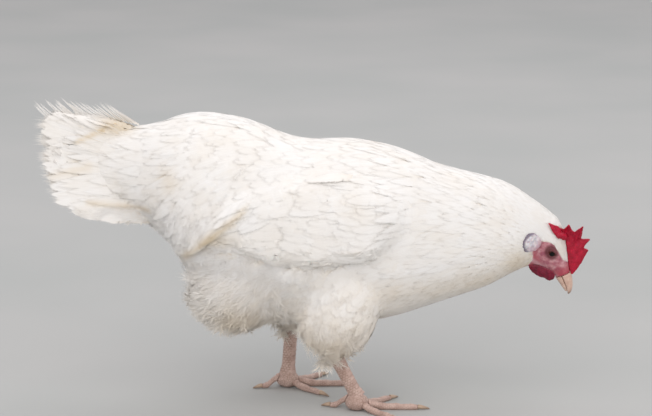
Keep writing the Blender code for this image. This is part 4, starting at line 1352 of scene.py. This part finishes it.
def make_wings(ground, surface, draw):
    template = Vane(*WING_VANE)
    for name, side in SIDES.items():
        for row, roots, tips, half, lift in wing_rows():
            count = len(roots)
            roots = np.array(roots) + draw.normal(0, 1.5, (count, 2))
            tips = np.array(tips) + draw.normal(0, (4.0, 1.5), (count, 2))
            paths = flank_paths(ground, side, roots, tips, half)
            lean = (count - np.arange(count)) / count * 0.7
            paths.places += paths.normals * ((lean - 0.9) * MM)[None, :, None]
            tilt_vanes(paths, 0.03)
            halves = half * MM * draw.uniform(0.92, 1.08, count)
            lifts = lift * MM * draw.uniform(0.9, 1.1, count)
            stain_and_shade = 0.03 + draw.uniform(0, 0.06, count)
            grow(
                f"{row}_{name}", paths, template, halves, lifts, surface, draw,
                root=-1.0, stain_and_shade=stain_and_shade, root_tint=0.15,
            )
        stand_for("wing_" + name)


def stand_for(node):
    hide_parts(node)


def tilt_vanes(paths, slope):
    """Turns the vanes about their shafts so that each lower edge stands out over the next."""
    down = np.sign(paths.sides[..., 2:3]) * -1
    turned = unit(paths.sides + paths.normals * slope * down)
    paths.normals = unit(paths.normals - paths.sides * slope * down)
    paths.sides = turned


def tail_shaft(side, share, rise, turn, roots, splay):
    """A shaft of the fan: its root, aim and outward normal. share runs from the fan's top to its bottom."""
    rise, turn = math.radians(rise), math.radians(turn)
    aim = np.array((-math.cos(rise) * math.cos(turn), side * math.sin(turn), math.sin(rise)))
    root = np.array(place(mix(-146, -130, share), side * mix(*splay, share), mix(*roots, share)))
    pitch = math.radians(mix(*TAIL_PITCH, share))
    normal = np.array((0, side * math.cos(pitch), math.sin(pitch)))
    return root, aim, unit(normal - aim * (normal @ aim))


def tail_paths(pairs, high, low, roots, splay, outward, extent, draw, stations=7):
    """The tent-shaped fan: shafts from the rump out to the tail's edge, both sides."""
    places, normals = [], []
    for side in (1, -1):
        for i in range(pairs):
            share = i / (pairs - 1)
            rise = mix(high, low, share) + draw.uniform(-1.5, 1.5)
            turn = mix(*TAIL_SPREAD, share) * 0.5 + draw.uniform(-0.6, 0.6)
            root, aim, normal = tail_shaft(side, share, rise, turn, roots, splay)
            across = np.cross(normal, aim)
            across *= 1 if across[2] > 0 else -1
            reach = tail_room(root[None], aim[None])[0] * draw.uniform(*extent)
            steps = np.linspace(0, 1, stations)[:, None]
            bow = across * 3.0 * MM * (1 - share) * np.sin(np.pi * steps)
            droop = -normal * (0.02 * reach) * steps**2 - across * (0.06 * reach * (1 - share)) * steps**2
            places.append(root + aim * reach * steps + bow + droop + normal * outward * MM)
            normals.append(np.repeat(normal[None], stations, axis=0))
    return Paths(np.stack(places, axis=1), np.stack(normals, axis=1))


def add_tail_tent(shape):
    """Adds the fan's outer surface: two steep walls that meet in a narrow ridge."""
    shares = np.linspace(0, 1, TENT_ROWS)
    grid = []
    for side, share in [(1, share) for share in shares[::-1]] + [(-1, share) for share in shares]:
        turn = mix(*TAIL_SPREAD, share) * 0.5
        root, aim, normal = tail_shaft(side, share, mix(*TENT_RISE, share), turn, TENT_ROOTS, TENT_SPLAY)
        reach = tail_room(root[None], aim[None])[0]
        steps = np.linspace(TENT_START, TENT_END, TENT_COLUMNS)
        grid.append([shape.verts.new(root + aim * reach * step + normal * TENT_OUTWARD) for step in steps])
    for first, second in zip(grid, grid[1:]):
        for j in range(TENT_COLUMNS - 1):
            shape.faces.new((first[j], first[j + 1], second[j + 1], second[j]))


def make_tail(surface, draw):
    template = Vane(*TAIL_VANE)
    for name, pairs, high, low, roots, splay, outward, half, extent in TAIL_TIERS:
        paths = tail_paths(pairs, high, low, roots, splay, outward, extent, draw)
        count = paths.places.shape[1]
        halves = half * MM * draw.uniform(0.9, 1.08, count)
        lifts = np.full(count, 0.5 * MM)
        stain_and_shade = 0.04 + draw.uniform(0, 0.10, count)
        grow(name, paths, template, halves, lifts, surface, draw, camber=0.03, fray=0.05, stain_and_shade=stain_and_shade)
    stand_for("tail")


def straight_paths(roots, aims, reaches, droop, stations=6):
    """Shafts that run straight from their roots, in millimetres, and sag a little towards the tip."""
    steps = np.linspace(0, 1, stations)[:, None, None]
    places = (roots * MM + SHIFT)[None] + aims[None] * (reaches * MM)[None, :, None] * steps
    places[..., 2] -= (reaches * MM * droop)[None] * steps[..., 0] ** 2
    sideways = np.stack([roots[:, 0] * 0, np.where(roots[:, 1] < 0, -1.0, 1.0), roots[:, 0] * 0], axis=1)
    return Paths(places, np.repeat(sideways[None], stations, axis=0))


def rearward(rise, spread, draw):
    """Directions to the rear that rise by an angle and stray to the sides."""
    return np.stack([-np.cos(rise), draw.normal(0, spread, len(rise)), np.sin(rise)], axis=1)


def make_tail_wisps(surface, draw):
    """Fine loose barbs along the tail's rear edge."""
    count = WISP_COUNT
    share = draw.random(count)
    back = mix(-160, -195, draw.random(count))
    roots = np.stack([back, draw.normal(0, 8, count), mix(268, 182, share)], axis=1)
    rise = np.radians(mix(34, -20, share) + draw.normal(0, 5, count))
    aims = rearward(rise, 0.08, draw)
    room = tail_room(roots * MM + SHIFT, aims) / MM
    rear = straight_paths(roots, aims, room + draw.uniform(-6, 4, count), 0.06)
    widths = draw.uniform(0.15, 0.32, count) * MM
    lifts = np.full(count, 0.5 * MM)
    grow("tail_wisps", rear, Strand(5), widths, lifts, surface, draw, camber=0, root_tint=0.0)


def make_tail_fringe(surface, draw):
    """The tail's top edge frays into bunches of barbs that stand apart and sweep back."""
    count = FRINGE_BUNCHES * BUNCH_STRANDS
    start = (np.arange(FRINGE_BUNCHES) + draw.uniform(0.15, 0.85, FRINGE_BUNCHES)) / FRINGE_BUNCHES
    share = np.repeat(start, BUNCH_STRANDS)
    height = np.interp(share, [0, 0.25, 0.6, 1], [268, 273, 277, 274])
    roots = np.stack([mix(-150, -240, share), draw.normal(0, 0.8, count), height], axis=1)
    roots[:, [0, 2]] += draw.normal(0, 0.25, (count, 2))
    bunch_rise = mix(32, 40, start) + draw.normal(0, 2.5, FRINGE_BUNCHES)
    rise = np.radians(np.repeat(bunch_rise, BUNCH_STRANDS) + draw.normal(0, 0.6, count))
    aims = rearward(rise, 0.03, draw)
    bunch_length = draw.uniform(20, 29, FRINGE_BUNCHES)
    lengths = np.repeat(bunch_length, BUNCH_STRANDS) * draw.uniform(0.7, 1.0, count) * mix(1.05, 0.8, share)
    paths = straight_paths(roots, aims, lengths, -0.10)
    widths = draw.uniform(0.22, 0.40, count) * MM
    lifts = np.full(count, 0.3 * MM)
    grow("tail_fringe", paths, Strand(5), widths, lifts, surface, draw, camber=0, root_tint=0.0)


# Head


def refined(node, voxel, rounds, swell=0.2, fills=()):
    """The node at a finer grain, swollen a little to make up for the smoothing and meet the skin.

    fills are balls, in the head's own directions, that make thin joints whole.
    """
    shape = joined((node,))
    for centre, radius in fills:
        ellipsoid(shape, HEAD @ (Vector(centre) * MM), (radius,) * 3)
    mesh = remeshed(mesh_from(shape, node + "_fine"), voxel, rounds, node + "_fine")
    points = points_of(mesh) + normals_of(mesh) * swell * MM
    points[:, 2] = np.maximum(points[:, 2], 0)
    set_points(mesh, points)
    return mesh


def make_comb():
    mesh = refined("comb", FINE_VOXEL, 6, 0.35, COMB_FILLS)
    points = points_of(mesh)
    push_out(mesh, noise_at(points, 1.2 * MM) * 0.22 + noise_at(points, 4 * MM, 3) * 0.30)
    add_piece("comb_fine", mesh, comb_shader("comb_skin", *COMB), ("comb",))


def make_wattles(skin_tree):
    surface = comb_shader("wattle_skin", *WATTLE, 0.45, WATTLE_BLUSH)
    for name in SIDES:
        mesh = refined("wattle_" + name, FINE_VOXEL, 5, 0.4)
        points = points_of(mesh)
        back, left, rise = head_coordinates(points)
        rows = np.stack([back * 0.25 - rise * 0.2, left * 0.5, rise + back * 0.2], axis=1) * MM
        push_out(mesh, noise_at(rows, 2.0 * MM, 5) * 0.55 + noise_at(points, 0.9 * MM, 2) * 0.12)
        apart = tree_distance(points, skin_tree)
        set_attribute(mesh, "blush", smooth((1.9 - apart / MM) / 1.9) * 0.8)
        add_piece("wattle_fine_" + name, mesh, surface, ("wattle_" + name,))


def make_lobes():
    surface = lobe_shader()
    for name, side in SIDES.items():
        mesh = refined("ear_lobe_" + name, FINE_VOXEL, 5)
        points, normals = points_of(mesh), normals_of(mesh)
        out = np.array(HEAD_TURN @ Vector((0, side, 0)))
        depth = points @ out
        points -= out * (LOBE_PRESS * (depth - depth.min()))[:, None]
        widened = LOBE_WIDEN * (points[:, 0].max() - points[:, 0])
        points += np.stack([-widened, side * LOBE_SLOPE * widened, widened * 0], axis=1)
        streaks = points @ np.array((0.75, 0, -0.66))
        rows = np.stack([streaks, points[:, 1] * 0.4, points @ np.array((0.66, 0, 0.75)) * 0.3], axis=1)
        ridges = noise_at(rows, 2.1 * MM, 8)
        folds = ridges * 0.50 + noise_at(points, 3.4 * MM, 9) * 0.55
        set_points(mesh, points + normals * (folds * MM)[:, None])
        offset = points - points.mean(axis=0)
        reach = np.linalg.norm(offset, axis=1)
        apart = reach / reach.max() + 0.10 * noise_at(points, 4.0 * MM, 2)
        # Painted shade: a dark rim round the lobe, widest at the top and rear where it tucks under the
        # feathers, and darker troughs between its folds
        upper = smooth(0.5 + (0.35 * offset[:, 2] - offset[:, 0]) * 80)
        rim = smooth((apart - mix(0.86, 0.60, upper)) / 0.22) * mix(0.35, 1.0, upper)
        set_attribute(mesh, "rim", np.clip(rim + 0.35 * smooth(-ridges * 2.4 - 0.3), 0, 1))
        set_attribute(mesh, "blush", smooth((offset[:, 0] - 0.8 * offset[:, 2]) * 110 - 0.05) * 0.75)
        add_piece("ear_lobe_fine_" + name, mesh, surface, ("ear_lobe_" + name,))


def make_bill():
    surface = horn_shader("bill_horn", *BILL)
    for name in ("bill_upper", "bill_lower"):
        mesh = refined(name, FINE_VOXEL, 3, 0.24)
        back, _, _ = head_coordinates(points_of(mesh))
        set_attribute(mesh, "tip", smooth((5.0 - back) / 5.0) * 0.8)
        add_piece(name + "_fine", mesh, surface, (name,))


def make_eyes():
    surface = eye_shader()
    for name, side in SIDES.items():
        centre = middle_of("eye_" + name)
        low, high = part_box("eye_" + name)
        radius = (high[0] - low[0]) / 2
        shape = bmesh.new()
        bmesh.ops.create_uvsphere(shape, u_segments=64, v_segments=40, radius=radius)
        gaze = HEAD_TURN @ Vector((math.sin(EYE_TURN), side * math.cos(EYE_TURN), 0))
        turn = gaze.to_track_quat("Z", "Y").to_matrix().to_4x4()
        bmesh.ops.transform(shape, matrix=Matrix.Translation(centre) @ turn, verts=shape.verts)
        mesh = mesh_from(shape, "eye_ball_" + name)
        facing = unit(points_of(mesh) - np.array(centre)) @ np.array(gaze)
        off_axis = np.degrees(np.arccos(np.clip(facing, -1, 1)))
        set_attribute(mesh, "pupil", 1 - smooth((off_axis - 24) / 4))
        add_piece("eye_ball_" + name, mesh, surface, ("eye_" + name,))


# Legs


def limb_axis(points, ahead):
    """Middle and long direction of a limb's mesh, the direction pointing ahead."""
    centre = points.mean(axis=0)
    axis = np.linalg.svd(points - centre, full_matrices=False)[2][0]
    return centre, axis if axis @ ahead > 0 else -axis


def unrolled(offset, axis, front):
    """Distance along a limb's axis in millimetres, and the angle around it from the front."""
    distance = offset @ axis
    radial = offset - distance[:, None] * axis
    return distance / MM, np.arctan2(radial @ np.cross(axis, front), radial @ front)


def scute_pattern(distance, around, pitch, plates):
    """Height and groove depth of overlapping plates: one broad row in front, small scales behind."""
    distance = distance + SCALES_START
    front = smooth((1.25 - np.abs(around)) / 0.35)
    share = (distance / pitch + 0.12 * around**2) % 1.0
    broad = (1 - share) ** 0.7 * smooth(share * 9)
    cell_row = distance / (pitch * 0.5)
    cell_side = around * plates / np.pi + 0.5 * (np.floor(cell_row) % 2)
    in_row, in_side = cell_row % 1.0 - 0.5, cell_side % 1.0 - 0.5
    small = smooth((0.5 - np.maximum(np.abs(in_row), np.abs(in_side))) * 5)
    height = mix(small * 0.55, broad, front)
    groove = mix(1 - small, 1 - smooth(share * 7) + 0.35 * smooth(share * 8 - 7), front)
    return height, np.clip(groove, 0, 1)


def make_shank(name, surface):
    mesh = refined("shank_" + name, LEG_VOXEL, 6)
    points = points_of(mesh)
    centre, axis = limb_axis(points[points[:, 2] > 0.02], np.array((0, 0, 1.0)))
    front = unit(np.array((1.0, 0, 0)) - axis * axis[0])
    distance, around = unrolled(points - centre, axis, front)
    height, groove = scute_pattern(distance, around, *SHANK_SCALES)
    on_shank = smooth((points[:, 2] / MM - 12) / 5)
    push_out(mesh, (height - 0.45) * 0.55 * on_shank)
    set_attribute(mesh, "groove", groove * mix(0.0, 0.75, on_shank))
    set_attribute(mesh, "pebble", 0.7 * (1 - on_shank))
    add_piece(f"shank_fine_{name}", mesh, surface, ("shank_" + name,))


def make_toes(name, surface):
    foot = np.array(middle_of("shank_" + name))
    for toe in TOE_NAMES:
        node = f"toe_{name}_{toe}"
        mesh = refined(node, TOE_VOXEL, 4)
        points = points_of(mesh)
        centre, axis = limb_axis(points, points.mean(axis=0) - foot)
        top = np.cross(axis, unit(np.cross((0, 0, 1.0), axis)))
        distance, around = unrolled(points - centre, axis, top)
        height, groove = scute_pattern(-distance, around, *TOE_SCALES)
        above = smooth(points[:, 2] / MM / 1.5)
        push_out(mesh, (height - 0.5) * 0.42 * above)
        set_attribute(mesh, "groove", groove * 0.6)
        set_attribute(mesh, "pebble", 0.35 * (1 - above))
        add_piece(node + "_fine", mesh, surface, (node,))


def make_claws(name, surface):
    for toe in TOE_NAMES:
        node = f"claw_{name}_{toe}"
        mesh = refined(node, CLAW_VOXEL, 4)
        points = points_of(mesh)
        apart = np.linalg.norm(points - np.array(middle_of("shank_" + name)), axis=1)
        set_attribute(mesh, "tip", smooth((apart - apart.min()) / np.ptp(apart) * 1.3 - 0.35) * 0.7)
        add_piece(node + "_fine", mesh, surface, (node,))


def make_legs():
    skin = leg_shader()
    horn = horn_shader("claw_horn", *CLAW)
    for name in SIDES:
        make_shank(name, skin)
        make_toes(name, skin)
        make_claws(name, horn)


# Stage


def make_floor():
    mesh = bpy.data.meshes.new("floor")
    corners = [(x * FLOOR_HALF, y * FLOOR_HALF, 0) for x, y in ((-1, -1), (1, -1), (1, 1), (-1, 1))]
    mesh.from_pydata(corners, [], [(0, 1, 2, 3)])
    floor = bpy.data.objects.new("floor", mesh)
    bpy.context.scene.collection.objects.link(floor)
    shader = Shader("floor", 0.9, Specular_IOR_Level=0.2)
    shader.colour(shader.ramp(shader.noise(3, 2), (0.3, (0.44, 0.45, 0.44)), (0.7, (0.48, 0.48, 0.47))))
    mesh.materials.append(shader.material)


def make_light():
    world = bpy.data.worlds.new("studio")
    world.use_nodes = True
    background = world.node_tree.nodes["Background"]
    background.inputs["Color"].default_value = ROOM_COLOUR
    background.inputs["Strength"].default_value = ROOM_STRENGTH
    bpy.context.scene.world = world
    for name, position, size, power, colour in LAMPS:
        light = bpy.data.lights.new(name, "AREA")
        light.size = size
        light.energy = power
        light.color = colour
        lamp = bpy.data.objects.new(name, light)
        lamp.location = position
        lamp.rotation_euler = (LAMP_AIM - Vector(position)).to_track_quat("-Z", "Y").to_euler()
        bpy.context.scene.collection.objects.link(lamp)
    bpy.context.scene.view_settings.view_transform = "Standard"


def make_camera():
    camera = bpy.data.cameras.new("camera")
    camera.sensor_width = 36
    camera.lens = 36 * CAMERA_DISTANCE / FIELD_WIDTH
    eye = bpy.data.objects.new("camera", camera)
    out = Vector((0, -math.cos(CAMERA_RISE), math.sin(CAMERA_RISE)))
    eye.location = CAMERA_AIM + MODEL_SHIFT + out * CAMERA_DISTANCE
    eye.rotation_euler = (-out).to_track_quat("-Z", "Y").to_euler()
    bpy.context.scene.collection.objects.link(eye)
    bpy.context.scene.camera = eye


make_camera()
make_light()
make_floor()
draws = np.random.default_rng(SEED)
hen_skin = make_skin()
hen_ground = Ground(hen_skin)
hen_lie, feather_surface = make_coat(hen_ground, draws)
make_down(hen_ground, hen_lie, draws)
make_wings(hen_ground, feather_surface, draws)
make_tail(feather_surface, draws)
make_tail_wisps(feather_surface, draws)
make_tail_fringe(feather_surface, draws)
make_comb()
make_wattles(tree_of(hen_skin))
make_lobes()
make_bill()
make_eyes()
make_legs()
